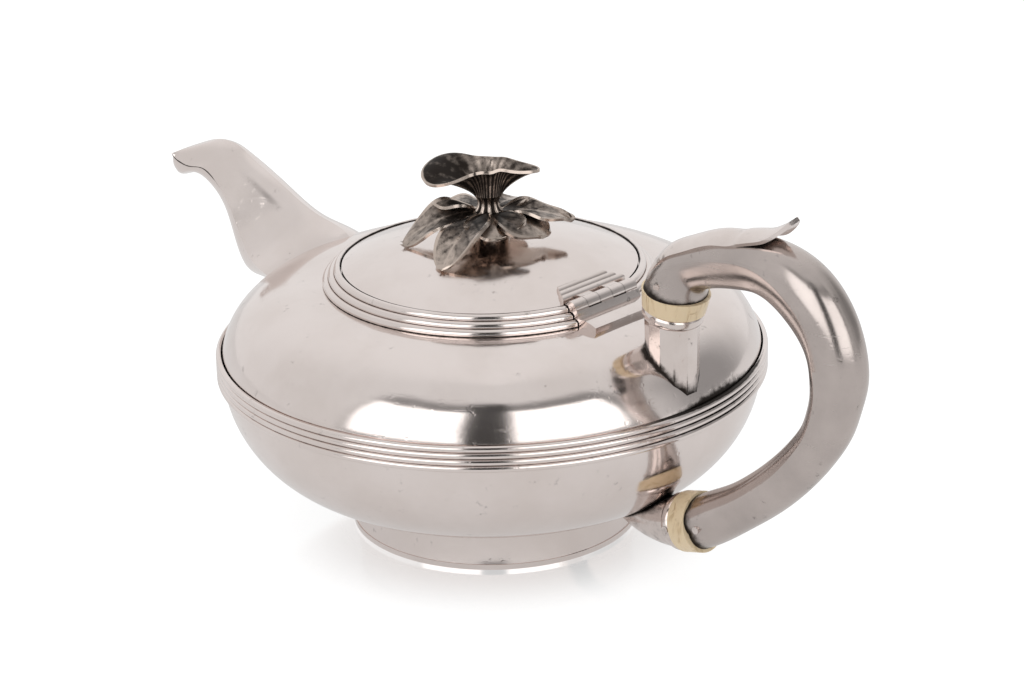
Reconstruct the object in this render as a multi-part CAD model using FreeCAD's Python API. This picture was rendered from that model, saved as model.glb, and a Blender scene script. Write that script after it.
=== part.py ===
import FreeCAD, Part
import math
import os

# Round silver teapot with a hinged domed lid, a broad-based spout and a hollow scroll handle.
# Millimetres. Z is up from the plane the foot stands on, and is the axis of the body.
# The handle is towards +X, the spout towards -X. All angles are in degrees.

# Body of revolution
WALL = 1.0
BODY_RADIUS = 82.0
FOOT_HEIGHT = 14.3
FOOT_SEAT_RADIUS = 42.0
FOOT_BASE_RADIUS = 43.9
FOOT_WALL = 1.6
FOOT_BASE_BAND = 1.6
FOOT_WAIST = 0.7
BOWL_DEPTH = 38.3
BOWL_KNEE_INSET = 19.0
BOWL_KNEE_RISE = 5.0
BOWL_SIDE_INSET = 5.0
BOWL_SIDE_RISE = 18.9
SHOULDER_RISE = 23.9
SHOULDER_SIDE_INSET = 4.7
SHOULDER_SIDE_RISE = 13.0
SHOULDER_TOP_INSET = 16.0
SHOULDER_TOP_RISE = 21.0

# Girdle wire over the seam of the two halves
GIRDLE_REEDS = 4
GIRDLE_REED_PITCH = 2.0
GIRDLE_BACK = 0.5

# Filler opening, rim and lid
LID_RADIUS = 44.5
LID_GAP = 0.4
LID_WALL = 1.1
LID_RISE = 8.4
LID_EDGE = 1.2
LID_LAND = 2.6
OPENING_RADIUS = 41.3
RIM_WIDTH = 5.3
RIM_REEDS = 3
RIM_CREST_BACK = 0.22
RIM_CREST_DROP = 0.18
BEARER_HEIGHT = 3.9

# Lid hinge, its axis along Y
HINGE_LENGTH = 26.4
HINGE_KNUCKLES = 5
HINGE_SETBACK = 0.9
HINGE_LIFT = -0.4
BARREL_RADIUS = 2.3
PIN_RADIUS = 0.9
PIN_FIT = 0.05
KNUCKLE_GAP = 0.15
LEAF_GAP = 0.35
PLATE_STEP = 3.6
PLATE_TAIL = 6.4
PLATE_EDGE = 1.3
PLATE_ROUND = 0.7
PLATE_TAIL_BEND = 0.6
PLATE_TAIL_SAG = 0.2
BAR_WIDTH = 6.4
BAR_TAPER = 4.2
BAR_HEIGHT = 1.3
BAR_REEDS = 2
WEB_HEIGHT = 2.2

# Finial
STUD_RADIUS = 1.5
STUD_FIT = 0.1
STUD_REACH = 5.0
NUT_WIDTH = 6.0
NUT_HEIGHT = 2.4
WASHER_RADIUS = 4.5
WASHER_HEIGHT = 0.8
STEM_FOOT_RADIUS = 6.5
STEM_FOOT_HEIGHT = 6.5
STEM_RADIUS = 4.0
STEM_WAIST = 2.9
STEM_HEIGHT = 6.5
LEAF_COUNT = 6
LEAF_REACH = 26.0
LEAF_HALF_WIDTH = 8.6
LEAF_THICKNESS = 1.3
LEAF_TIP_LIFT = 1.0
LEAF_BELLY_SHARE = 0.5
LEAF_BEND_SHARE = 0.55
LEAF_BEND_HEIGHT = 0.76
BLOOM_RADIUS = 17.0
BLOOM_HEIGHT = 8.6
BLOOM_WALL = 1.5
BLOOM_BEND_SHARE = 0.42
BLOOM_BEND_HEIGHT = 0.62
BLOOM_BEND_WALL = 0.6
BLOOM_EDGE_SLANT = 0.3
PETAL_COUNT = 5
PETAL_NOTCH = 4.2
PETAL_NOTCH_SHIFT = 0.4

# Spout, measured out from the body wall and up from the seam of the halves
SPOUT_WALL = 1.1
SPOUT_SIDE_HOLLOW = 0.5
STRAINER_HOLE = 1.5
STRAINER_PITCH = 5.2
STRAINER_ROWS = 3
STRAINER_COLUMNS = 5
STRAINER_INSET = 7.4
STRAINER_PLACE = 0.3
# Each station: front reach, front rise, rear reach, rear rise, arris half width, rear half width
SPOUT_STATIONS = [
    (-14.0, -3.0, -25.0, 17.0, 21.0, 9.0),
    (0.6, 5.0, -18.0, 23.6, 22.5, 9.5),
    (15.0, 6.2, -5.5, 26.5, 18.0, 8.0),
    (26.8, 19.0, 12.0, 33.4, 12.6, 6.5),
    (37.8, 28.2, 24.5, 38.8, 9.6, 5.6),
    (47.0, 30.6, 30.0, 41.8, 8.6, 5.4),
    (57.0, 31.8, 33.5, 43.0, 8.6, 5.6),
    (61.0, 34.4, 34.6, 43.4, 8.9, 5.8),
]
SPOUT_ARRIS_SHARE = 0.37
SPOUT_REAR_SHARE = 0.80

# Handle joints
UPPER_INSET = 9.0
UPPER_COLLAR_RISE = 29.0
COLLAR_HEIGHT = 3.6
COLLAR_RADIUS = 9.0
SOCKET_FACETS = 12
SOCKET_TOP_RADIUS = 8.0
SOCKET_BASE_RADIUS = 7.7
SOCKET_WALL = 1.3
UPPER_LEAN = 10.0
UPPER_RING_HEIGHT = 5.4
UPPER_RING_RADIUS = 10.0
UPPER_RING_TAPER = 0.8
SPIGOT_RADIUS = 4.5
SPIGOT_LENGTH = 7.5
SPIGOT_FIT = 0.05
CROSS_PIN_RADIUS = 1.1
CROSS_PIN_FIT = 0.05
CROSS_PIN_INSET = 3.6
LOWER_INSET = 3.0
LOWER_AXIS_RISE = 5.5
LOWER_TILT = 15.0
LOWER_RING_HEIGHT = 6.2
LOWER_RING_RADIUS = 9.0
LOWER_COLLAR_RADIUS = 8.6
LOWER_SOCKET_RADIUS = 7.8
LOWER_SOCKET_TAIL = 22.0
LOWER_SOCKET_LIFT = 8.0
LOWER_SOCKET_END_RADIUS = 5.0
LOWER_SPIGOT_RADIUS = 3.6
LOWER_SPIGOT_LENGTH = 5.0

# Handle centre line, measured out from the body wall and up from the seam of the halves
HANDLE_WALL = 1.2
HEEL_SHARE = 0.74
HEEL_WIDTH_SHARE = 0.62
HEEL_ROUNDING = 0.14
FLANK_BULGE = 0.05
FLANK_ROUNDING = 0.215
ARC_SPANS = 8
LOFT_DEGREE = 3
HANDLE_SPRING_REACH = 0.0
HANDLE_SPRING_RISE = 47.3
HANDLE_CREST_REACH = 20.6
HANDLE_CREST_RISE = 52.8
HANDLE_BACK_REACH = 50.8
HANDLE_BACK_RISE = 28.3
HANDLE_TURN_REACH = 44.6
HANDLE_TURN_RISE = 4.9
HANDLE_TAIL_REACH = 20.3
HANDLE_TAIL_RISE = -20.0
# Each station: arc of the centre line, share along it, outer depth, inner depth, half width, roundness,
# and how far out the ridges stand, as a share of the outer depth
HANDLE_STATIONS = [
    (0, 0.00, 9.4, 8.8, 8.6, 1.0, 0.45),
    (0, 0.45, 7.7, 8.0, 8.2, 0.8, 0.40),
    (0, 1.00, 7.2, 7.2, 7.8, 0.3, 0.30),
    (1, 1.00, 8.5, 8.0, 7.8, 0.0, 0.22),
    (2, 0.50, 10.1, 9.4, 7.9, 0.0, 0.05),
    (2, 1.00, 9.4, 7.9, 7.6, 0.0, 0.02),
    (3, 0.50, 7.7, 7.3, 7.0, 0.0, 0.02),
    (3, 1.00, 7.1, 6.6, 6.4, 0.0, 0.02),
    (4, 1.00, 6.9, 7.1, 6.5, 0.3, 0.05),
    (5, 1.00, 8.0, 8.2, 7.2, 1.0, 0.20),
]
HOLLOW_STATIONS = (1, 8)
HANDLE_STEP = 6.0
# Each station: arc, share along it, lift off the handle at its spring, half width, depth of the blank, camber
LEAF_BLANK_DEPTH = 3.0
LEAF_FREE_DEPTH = 1.4
LEAF_STATIONS = [
    (0, 0.10, 2.8, 5.0, LEAF_BLANK_DEPTH, 2.4),
    (0, 0.35, 1.9, 5.8, LEAF_BLANK_DEPTH, 2.4),
    (0, 0.65, 1.6, 6.5, LEAF_BLANK_DEPTH, 2.4),
    (0, 1.00, 1.3, 6.8, LEAF_BLANK_DEPTH, 2.4),
    (1, 0.30, 1.7, 6.8, LEAF_BLANK_DEPTH, 2.4),
    (1, 0.65, 2.2, 6.8, LEAF_BLANK_DEPTH, 2.4),
    (1, 1.00, 2.7, 6.6, LEAF_BLANK_DEPTH, 2.2),
    (2, 0.08, 3.6, 6.0, LEAF_FREE_DEPTH, 1.6),
    (2, 0.15, 5.2, 5.2, LEAF_FREE_DEPTH, 1.0),
    (2, 0.20, 7.7, 4.5, LEAF_FREE_DEPTH, 0.6),
    (2, 0.235, 10.3, 3.9, LEAF_FREE_DEPTH, 0.4),
    (2, 0.247, 11.5, 2.2, LEAF_FREE_DEPTH, 0.2),
]

# Clearance of a soldered seam between curved faces
SOLDER_FILM = 0.04

# Levels and places that follow from the sizes above
SEAM_Z = FOOT_HEIGHT + BOWL_DEPTH
RIM_SEAT_Z = SEAM_Z + SHOULDER_RISE
LEDGE_Z = RIM_SEAT_Z + BEARER_HEIGHT
LID_EDGE_Z = LEDGE_Z + LID_EDGE
LID_TOP_Z = LID_EDGE_Z + LID_RISE
RIM_INNER_RADIUS = LID_RADIUS + LID_GAP
RIM_OUTER_RADIUS = RIM_INNER_RADIUS + RIM_WIDTH
HINGE_X = LID_RADIUS + HINGE_SETBACK
HINGE_Z = LID_EDGE_Z + HINGE_LIFT
HINGE_HALF = HINGE_LENGTH / 2
LID_CHORD_X = HINGE_X - BARREL_RADIUS - LEAF_GAP
UPPER_X = BODY_RADIUS - UPPER_INSET
COLLAR_Z = SEAM_Z + UPPER_COLLAR_RISE
LOWER_Z = FOOT_HEIGHT + LOWER_AXIS_RISE
LOWER_RING_X = BODY_RADIUS - LOWER_INSET
STEM_FOOT_Z = LID_TOP_Z
STEM_TOP_Z = STEM_FOOT_Z + STEM_FOOT_HEIGHT + STEM_HEIGHT
FAR = 4 * BODY_RADIUS


# Helpers for profiles in the XZ plane

def vector(x, z, y=0.0):
    """Point at x, z in the plane y."""
    return FreeCAD.Vector(x, y, z)


def line(start, end):
    return Part.LineSegment(vector(*start), vector(*end)).toShape()


def arc(start, middle, end):
    return Part.Arc(vector(*start), vector(*middle), vector(*end)).toShape()


def lines(*points):
    return [line(a, b) for a, b in zip(points, points[1:])]


def face_of(edges):
    return Part.Face(Part.Wire(Part.__sortEdges__(edges)))


def turned(edges):
    """Solid of revolution about Z of a closed profile."""
    return face_of(edges).revolve(FreeCAD.Vector(0, 0, 0), FreeCAD.Vector(0, 0, 1), 360)


def box(low, high):
    size = [b - a for a, b in zip(low, high)]
    return Part.makeBox(*size, FreeCAD.Vector(*low))


def rod(radius, start, axis, length):
    return Part.makeCylinder(radius, length, FreeCAD.Vector(*start), FreeCAD.Vector(*axis))


def cross_pin(radius, x, z, half_length):
    """Cylinder along Y, centred on the plane y = 0."""
    return rod(radius, (x, -half_length, z), (0, 1, 0), 2 * half_length)


def moved(point, angle, distance):
    turn = math.radians(angle)
    return (point[0] + distance * math.cos(turn), point[1] + distance * math.sin(turn))


def tangent_arcs(start, heading, stops):
    """Run of arcs through the stops, each tangent to the one before.

    An arc is (start, heading at start, turn, chord). Its chord points half its turn off its heading.
    """
    run = []
    for stop in stops:
        dx = stop[0] - start[0]
        dz = stop[1] - start[1]
        turn = 2 * (math.degrees(math.atan2(dz, dx)) - heading)
        turn = (turn + 360) % 720 - 360
        run.append((start, heading, turn, math.hypot(dx, dz)))
        start = stop
        heading = heading + turn
    return run


def place_on(piece, share):
    """Point and heading at a share of an arc: the chord of a part arc has half the part turn."""
    start, heading, turn, chord = piece
    half = math.radians(turn / 2)
    reach = chord * share if abs(half) < 1e-6 else chord * math.sin(half * share) / math.sin(half)
    return moved(start, heading + turn * share / 2, reach), heading + turn * share


def arc_length(piece):
    turn, chord = piece[2:]
    half = math.radians(turn / 2)
    return chord if abs(half) < 1e-6 else chord * half / math.sin(half)


def arc_edges(run, offset=0.0):
    """Edges of a run of arcs, moved to the left of their heading by the offset."""
    edges = []
    for piece in run:
        points = []
        for share in (0.0, 0.5, 1.0):
            point, heading = place_on(piece, share)
            points.append(moved(point, heading + 90, offset))
        edges.append(arc(*points))
    return edges


def ends(edges):
    """First and last corner of a run of edges, as x and z."""
    first = edges[0].valueAt(edges[0].FirstParameter)
    last = edges[-1].valueAt(edges[-1].LastParameter)
    return (first.x, first.z), (last.x, last.z)


# Body of revolution

def bowl_run():
    knee = (BODY_RADIUS - BOWL_KNEE_INSET, FOOT_HEIGHT + BOWL_KNEE_RISE)
    side = (BODY_RADIUS - BOWL_SIDE_INSET, FOOT_HEIGHT + BOWL_SIDE_RISE)
    return tangent_arcs((BODY_RADIUS, SEAM_Z), -90, [side, knee, (FOOT_SEAT_RADIUS, FOOT_HEIGHT)])


def shoulder_run():
    side = (BODY_RADIUS - SHOULDER_SIDE_INSET, SEAM_Z + SHOULDER_SIDE_RISE)
    top = (BODY_RADIUS - SHOULDER_TOP_INSET, SEAM_Z + SHOULDER_TOP_RISE)
    return tangent_arcs((BODY_RADIUS, SEAM_Z), 90, [side, top, (RIM_OUTER_RADIUS, RIM_SEAT_Z)])


def body_block(film=SOLDER_FILM):
    """The body filled in, a solder film larger, which everything soldered to it is cut by."""
    lower = arc_edges(bowl_run(), film)
    upper = arc_edges(shoulder_run(), -film)
    lower_end = ends(lower)[1]
    upper_end = ends(upper)[1]
    edges = lower + upper
    edges += lines(lower_end, (0, lower_end[1]), (0, upper_end[1]), upper_end)
    return turned(edges)


def bowl():
    outer = arc_edges(bowl_run())
    inner = arc_edges(bowl_run(), -WALL)
    inner_start, inner_end = ends(inner)
    edges = outer + inner
    edges += lines((BODY_RADIUS, SEAM_Z), inner_start)
    edges += lines((FOOT_SEAT_RADIUS, FOOT_HEIGHT), (0, FOOT_HEIGHT), (0, inner_end[1]), inner_end)
    return turned(edges)


def strainer_holes():
    """Staggered rows of bores through the wall behind the spout, level with its middle."""
    middle, heading = place_on(shoulder_run()[1], STRAINER_PLACE)
    holes = []
    for row in range(STRAINER_ROWS):
        drop = (row - (STRAINER_ROWS - 1) / 2) * STRAINER_PITCH
        count = STRAINER_COLUMNS - row % 2
        for column in range(count):
            y = (column - (count - 1) / 2) * STRAINER_PITCH
            x, z = moved(middle, heading, -drop)
            start = (-x + STRAINER_INSET, y, z - STRAINER_INSET)
            holes.append(rod(STRAINER_HOLE, start, (-1, 0, 1), 3 * STRAINER_INSET))
    return holes


def shoulder():
    outer = arc_edges(shoulder_run())
    inner = arc_edges(shoulder_run(), WALL)
    inner_start, inner_end = ends(inner)
    edges = outer + inner
    edges += lines((BODY_RADIUS, SEAM_Z), inner_start)
    edges += lines((RIM_OUTER_RADIUS, RIM_SEAT_Z), (OPENING_RADIUS, RIM_SEAT_Z),
                   (OPENING_RADIUS, inner_end[1]), inner_end)
    return turned(edges).cut(Part.makeCompound(strainer_holes()))


def girdle_band():
    """Half-round reeds on a thin strip, level with the seam."""
    inner = BODY_RADIUS + SOLDER_FILM
    outer = inner + GIRDLE_BACK
    half = GIRDLE_REED_PITCH / 2
    bottom = SEAM_Z - GIRDLE_REEDS * half
    top = SEAM_Z + GIRDLE_REEDS * half
    edges = []
    for reed in range(GIRDLE_REEDS):
        low = bottom + reed * GIRDLE_REED_PITCH
        edges.append(arc((outer, low), (outer + half, low + half), (outer, low + GIRDLE_REED_PITCH)))
    edges += lines((outer, top), (inner, top), (inner, bottom), (outer, bottom))
    return turned(edges)


def foot_ring():
    """Plain band, a little waisted, with a plain strip at the base that it stands on."""
    top_inner = FOOT_SEAT_RADIUS - FOOT_WALL
    base_inner = FOOT_BASE_RADIUS - FOOT_WALL
    strip_radius = FOOT_BASE_RADIUS - FOOT_WAIST / 2
    waist_radius = (FOOT_SEAT_RADIUS + strip_radius) / 2 - FOOT_WAIST
    middle = (FOOT_HEIGHT + FOOT_BASE_BAND) / 2
    edges = [arc((FOOT_SEAT_RADIUS, FOOT_HEIGHT), (waist_radius, middle), (strip_radius, FOOT_BASE_BAND))]
    edges += lines((strip_radius, FOOT_BASE_BAND), (FOOT_BASE_RADIUS, FOOT_BASE_BAND),
                   (FOOT_BASE_RADIUS, 0), (base_inner, 0), (base_inner, FOOT_BASE_BAND))
    edges.append(arc((base_inner, FOOT_BASE_BAND), (waist_radius - FOOT_WALL, middle),
                     (top_inner, FOOT_HEIGHT)))
    edges += lines((top_inner, FOOT_HEIGHT), (FOOT_SEAT_RADIUS, FOOT_HEIGHT))
    return turned(edges)


def hinge_slot(clear):
    """Space taken by the hinge across the rim."""
    half = HINGE_HALF + clear
    return box((0, -half, RIM_SEAT_Z), (FAR, half, FAR))


def rim_mount():
    """Reeds that step down and out from the lid, cut through for the hinge."""
    inner = RIM_INNER_RADIUS + SOLDER_FILM
    step = RIM_WIDTH / RIM_REEDS
    drop = (LID_EDGE_Z - RIM_SEAT_Z) / RIM_REEDS
    edges = lines((RIM_OUTER_RADIUS, RIM_SEAT_Z), (inner, RIM_SEAT_Z), (inner, LID_EDGE_Z))
    high = (inner, LID_EDGE_Z)
    for reed in range(RIM_REEDS):
        low = (RIM_INNER_RADIUS + (reed + 1) * step, LID_EDGE_Z - (reed + 1) * drop)
        crest = (low[0] - step * RIM_CREST_BACK, high[1] - drop * RIM_CREST_DROP)
        edges.append(arc(high, crest, low))
        high = low
    return turned(edges).cut(hinge_slot(LEAF_GAP))


def hinge_trough():
    """Room for the barrel of the hinge to turn in."""
    return cross_pin(BARREL_RADIUS + LEAF_GAP, HINGE_X, HINGE_Z, HINGE_HALF + LEAF_GAP)


def lid_bearer():
    edges = lines((OPENING_RADIUS, RIM_SEAT_Z), (RIM_INNER_RADIUS, RIM_SEAT_Z),
                  (RIM_INNER_RADIUS, LEDGE_Z), (OPENING_RADIUS, LEDGE_Z), (OPENING_RADIUS, RIM_SEAT_Z))
    return turned(edges).cut(hinge_trough())


# Lid

def dome_edges(offset):
    """Arc of the dome from its rim to the axis, moved inwards by the offset, and its two ends."""
    sphere = (LID_RADIUS ** 2 + LID_RISE ** 2) / (2 * LID_RISE)
    centre = LID_TOP_Z - sphere
    radius = sphere - offset
    rim_angle = math.asin((LID_RADIUS - offset) / radius)
    rim = (LID_RADIUS - offset, centre + radius * math.cos(rim_angle))
    middle = (radius * math.sin(rim_angle / 2), centre + radius * math.cos(rim_angle / 2))
    top = (0, centre + radius)
    return [arc(rim, middle, top)], rim, top


def chord_block():
    """Everything past the straight edge of the lid beside the hinge."""
    return box((LID_CHORD_X, -FAR, -FAR), (FAR, FAR, FAR))


def dome_block():
    """The dome filled in, a solder film larger, which what stands on it is cut by."""
    edges, rim, top = dome_edges(-SOLDER_FILM)
    edges += lines(rim, (rim[0], LEDGE_Z), (0, LEDGE_Z), top)
    return turned(edges)


def lid_dome():
    outer, rim, top = dome_edges(0.0)
    land = LID_RADIUS - LID_LAND
    inner, inner_rim, inner_top = dome_edges(LID_WALL)
    edges = outer + inner
    edges += lines(rim, (LID_RADIUS, LEDGE_Z), (land, LEDGE_Z), inner_rim)
    edges += lines(top, inner_top)
    hole = rod(STUD_RADIUS + STUD_FIT, (0, 0, LEDGE_Z), (0, 0, 1), FAR)
    return turned(edges).cut(chord_block()).cut(hole)


# Hinge

def knuckle_spans(first):
    """Y range of every other knuckle, starting from the given one."""
    pitch = HINGE_LENGTH / HINGE_KNUCKLES
    spans = []
    for knuckle in range(first, HINGE_KNUCKLES, 2):
        low = -HINGE_HALF + knuckle * pitch
        spans.append((low + KNUCKLE_GAP / 2, low + pitch - KNUCKLE_GAP / 2))
    return spans


def knuckles(first, web, against):
    """Tubes on the hinge axis, each with a web that reaches the leaf it is soldered to."""
    solids = []
    for low, high in knuckle_spans(first):
        tube = rod(BARREL_RADIUS, (HINGE_X, low, HINGE_Z), (0, 1, 0), high - low)
        foot = box((web[0], low, web[1]), (web[2], high, web[3]))
        bore = rod(PIN_RADIUS + PIN_FIT, (HINGE_X, -FAR, HINGE_Z), (0, 1, 0), 2 * FAR)
        solids.append(tube.fuse(foot).removeSplitter().cut(bore).cut(against))
    return Part.makeCompound(solids)


def hinge_plate():
    """Straight moulding in two steps, troughed under the barrel and seated on the shoulder."""
    inner = RIM_INNER_RADIUS + SOLDER_FILM
    step_x = HINGE_X + PLATE_STEP
    tail_x = step_x + PLATE_TAIL
    step_z = HINGE_Z - BARREL_RADIUS
    edge_z = RIM_SEAT_Z + PLATE_EDGE
    ridge_x = HINGE_X + BARREL_RADIUS / 2
    edges = lines((inner, SEAM_Z), (inner, HINGE_Z), (ridge_x, HINGE_Z + BARREL_RADIUS / 2))
    edges.append(arc((ridge_x, HINGE_Z + BARREL_RADIUS / 2), (step_x - PLATE_ROUND, HINGE_Z - PLATE_ROUND),
                     (step_x, step_z)))
    bend = (step_x + PLATE_TAIL * PLATE_TAIL_BEND, step_z - PLATE_TAIL_SAG)
    edges.append(arc((step_x, step_z), bend, (tail_x, edge_z)))
    edges += lines((tail_x, edge_z), (tail_x, SEAM_Z), (inner, SEAM_Z))
    blank = face_of(edges).extrude(FreeCAD.Vector(0, HINGE_LENGTH, 0))
    blank.translate(FreeCAD.Vector(0, -HINGE_HALF, 0))
    above = box((0, -FAR, HINGE_Z), (HINGE_X, FAR, FAR))
    bearer = rod(RIM_INNER_RADIUS + SOLDER_FILM, (0, 0, 0), (0, 0, 1), FAR)
    return blank.cut(hinge_trough()).cut(above).cut(bearer).cut(body_block())


def hinge_knuckles_fixed(plate):
    web = (HINGE_X, HINGE_Z - BARREL_RADIUS - LEAF_GAP, HINGE_X + BARREL_RADIUS + LEAF_GAP, HINGE_Z)
    return knuckles(0, web, plate)


def hinge_knuckles_lid(bar):
    web = (LID_CHORD_X, HINGE_Z, HINGE_X, HINGE_Z + WEB_HEIGHT)
    return knuckles(1, web, bar)


def hinge_pin():
    return rod(PIN_RADIUS, (HINGE_X, -HINGE_HALF, HINGE_Z), (0, 1, 0), HINGE_LENGTH)


def lid_hinge_bar():
    """Reeded bar along the lid's straight edge, drawn in towards the middle of the lid."""
    inner = LID_CHORD_X - BAR_WIDTH
    top = HINGE_Z + WEB_HEIGHT + BAR_HEIGHT
    reed = BAR_WIDTH / (BAR_REEDS + 1)
    edges = lines((LID_CHORD_X, LEDGE_Z), (LID_CHORD_X, HINGE_Z + WEB_HEIGHT))
    high = (LID_CHORD_X, HINGE_Z + WEB_HEIGHT)
    for count in range(BAR_REEDS + 1):
        low = (LID_CHORD_X - (count + 1) * reed, high[1] + BAR_HEIGHT / (BAR_REEDS + 1))
        crest = ((high[0] + low[0]) / 2, max(high[1], low[1]) + BAR_HEIGHT / 5)
        edges.append(arc(high, crest, low))
        high = low
    edges += lines(high, (inner, LEDGE_Z), (LID_CHORD_X, LEDGE_Z))
    blank = face_of(edges).extrude(FreeCAD.Vector(0, HINGE_LENGTH, 0))
    blank.translate(FreeCAD.Vector(0, -HINGE_HALF, 0))
    outer_half = HINGE_HALF
    inner_half = HINGE_HALF - BAR_TAPER
    plan = [(inner, -inner_half), (LID_CHORD_X, -outer_half), (LID_CHORD_X, outer_half), (inner, inner_half)]
    corners = [FreeCAD.Vector(x, y, LEDGE_Z) for x, y in plan + plan[:1]]
    prism = Part.Face(Part.makePolygon(corners)).extrude(FreeCAD.Vector(0, 0, top - LEDGE_Z + BAR_WIDTH))
    over = box((0, -FAR, -FAR), (FAR, FAR, LID_EDGE_Z))
    return blank.common(prism).cut(dome_block()).cut(over)


# Finial

def finial_stem():
    """Foot seated on the dome, a flat shelf for the leaves and a waisted stem, bored for the stud."""
    shelf = STEM_FOOT_Z + STEM_FOOT_HEIGHT
    bottom = LID_TOP_Z - LID_RISE
    edges = lines((0, bottom), (STEM_FOOT_RADIUS, bottom), (STEM_FOOT_RADIUS, shelf), (STEM_RADIUS, shelf))
    edges.append(arc((STEM_RADIUS, shelf), (STEM_WAIST, shelf + STEM_HEIGHT / 2), (STEM_RADIUS, STEM_TOP_Z)))
    edges += lines((STEM_RADIUS, STEM_TOP_Z), (0, STEM_TOP_Z), (0, bottom))
    bore = rod(STUD_RADIUS + STUD_FIT, (0, 0, bottom), (0, 0, 1), shelf - bottom)
    return turned(edges).cut(dome_block()).cut(bore)


def leaf_plan(reach, half_width, root, turn):
    """Outline of one leaf in plan: two arcs from the root to the tip."""
    belly = root + (reach - root) * LEAF_BELLY_SHARE
    tip = FreeCAD.Vector(reach, 0, 0)
    heel = FreeCAD.Vector(-root, 0, 0)
    near = Part.Arc(heel, FreeCAD.Vector(belly, -half_width, 0), tip).toShape()
    far = Part.Arc(tip, FreeCAD.Vector(belly, half_width, 0), heel).toShape()
    outline = Part.Face(Part.Wire([near, far]))
    outline.rotate(FreeCAD.Vector(0, 0, 0), FreeCAD.Vector(0, 0, 1), turn)
    return outline


def finial_leaves():
    """Umbrella of leaves: a domed sheet cut to the leaves' plan, flat where it sits on the stem's shelf."""
    hub = (STEM_FOOT_RADIUS, STEM_FOOT_Z + STEM_FOOT_HEIGHT)
    eye = (STEM_RADIUS + SOLDER_FILM, hub[1])
    sphere = (LID_RADIUS ** 2 + LID_RISE ** 2) / (2 * LID_RISE)
    tip_z = LID_TOP_Z - sphere + math.sqrt(sphere ** 2 - LEAF_REACH ** 2) + LEAF_TIP_LIFT
    tip = (LEAF_REACH, tip_z)
    bend = (LEAF_REACH * LEAF_BEND_SHARE, tip_z + (hub[1] - tip_z) * LEAF_BEND_HEIGHT)

    def raised(point):
        return (point[0], point[1] + LEAF_THICKNESS)

    edges = [arc(hub, bend, tip), arc(raised(hub), raised(bend), raised(tip))]
    edges += lines(hub, eye, raised(eye), raised(hub))
    edges += lines(tip, raised(tip))
    sheet = turned(edges)
    plans = [leaf_plan(LEAF_REACH, LEAF_HALF_WIDTH, STEM_RADIUS, leaf * 360 / LEAF_COUNT)
             for leaf in range(LEAF_COUNT)]
    blanks = []
    for plan in plans:
        plan.translate(FreeCAD.Vector(0, 0, LEDGE_Z))
        blanks.append(plan.extrude(FreeCAD.Vector(0, 0, FAR)))
    return sheet.common(blanks[0].multiFuse(blanks[1:]))


def finial_bloom():
    """Trumpet of petals on top of the stem."""
    base = STEM_TOP_Z
    top = base + BLOOM_HEIGHT
    middle = (BLOOM_RADIUS * BLOOM_BEND_SHARE, base + BLOOM_HEIGHT * BLOOM_BEND_HEIGHT)
    edge = (BLOOM_RADIUS - BLOOM_WALL * BLOOM_EDGE_SLANT, top + BLOOM_WALL)
    edges = [arc((STEM_RADIUS, base), middle, (BLOOM_RADIUS, top))]
    inner_base = base + BLOOM_WALL
    edges.append(arc((STEM_RADIUS - BLOOM_WALL, inner_base),
                     (middle[0] - BLOOM_WALL * BLOOM_BEND_WALL, middle[1] + BLOOM_WALL), edge))
    edges += lines((BLOOM_RADIUS, top), edge)
    edges += lines((STEM_RADIUS, base), (0, base), (0, inner_base), (STEM_RADIUS - BLOOM_WALL, inner_base))
    trumpet = turned(edges)
    notches = []
    for petal in range(PETAL_COUNT):
        turn = math.radians((petal + 0.5) * 360 / PETAL_COUNT)
        reach = BLOOM_RADIUS + PETAL_NOTCH * PETAL_NOTCH_SHIFT
        start = (reach * math.cos(turn), reach * math.sin(turn), base)
        notches.append(rod(PETAL_NOTCH, start, (0, 0, 1), FAR))
    return trumpet.cut(Part.makeCompound(notches))


def finial_stud():
    return rod(STUD_RADIUS, (0, 0, LID_TOP_Z - LID_WALL - STUD_REACH), (0, 0, 1),
               STUD_REACH + LID_WALL + STEM_FOOT_HEIGHT)


def washer_low():
    return LID_TOP_Z - LID_WALL - SOLDER_FILM - WASHER_HEIGHT


def finial_washer():
    """Dished to the inside of the dome."""
    bottom = washer_low()
    disc = rod(WASHER_RADIUS, (0, 0, bottom - WASHER_HEIGHT), (0, 0, 1), 3 * WASHER_HEIGHT)
    edges, rim, top = dome_edges(LID_WALL + SOLDER_FILM)
    edges += lines(rim, (0, rim[1]), top)
    flat = box((-FAR, -FAR, bottom - 2 * WASHER_HEIGHT), (FAR, FAR, bottom))
    bore = rod(STUD_RADIUS + STUD_FIT, (0, 0, bottom - FAR), (0, 0, 1), 2 * FAR)
    return disc.common(turned(edges)).cut(flat).cut(bore)


def finial_nut():
    top = washer_low()
    circle = NUT_WIDTH / math.sqrt(3)
    corners = [FreeCAD.Vector(circle * math.cos(math.radians(60 * k)), circle * math.sin(math.radians(60 * k)),
                              top - NUT_HEIGHT) for k in range(7)]
    blank = Part.Face(Part.makePolygon(corners)).extrude(FreeCAD.Vector(0, 0, NUT_HEIGHT))
    return blank.cut(rod(STUD_RADIUS + STUD_FIT, (0, 0, top - FAR), (0, 0, 1), 2 * FAR))


# Spout

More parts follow.
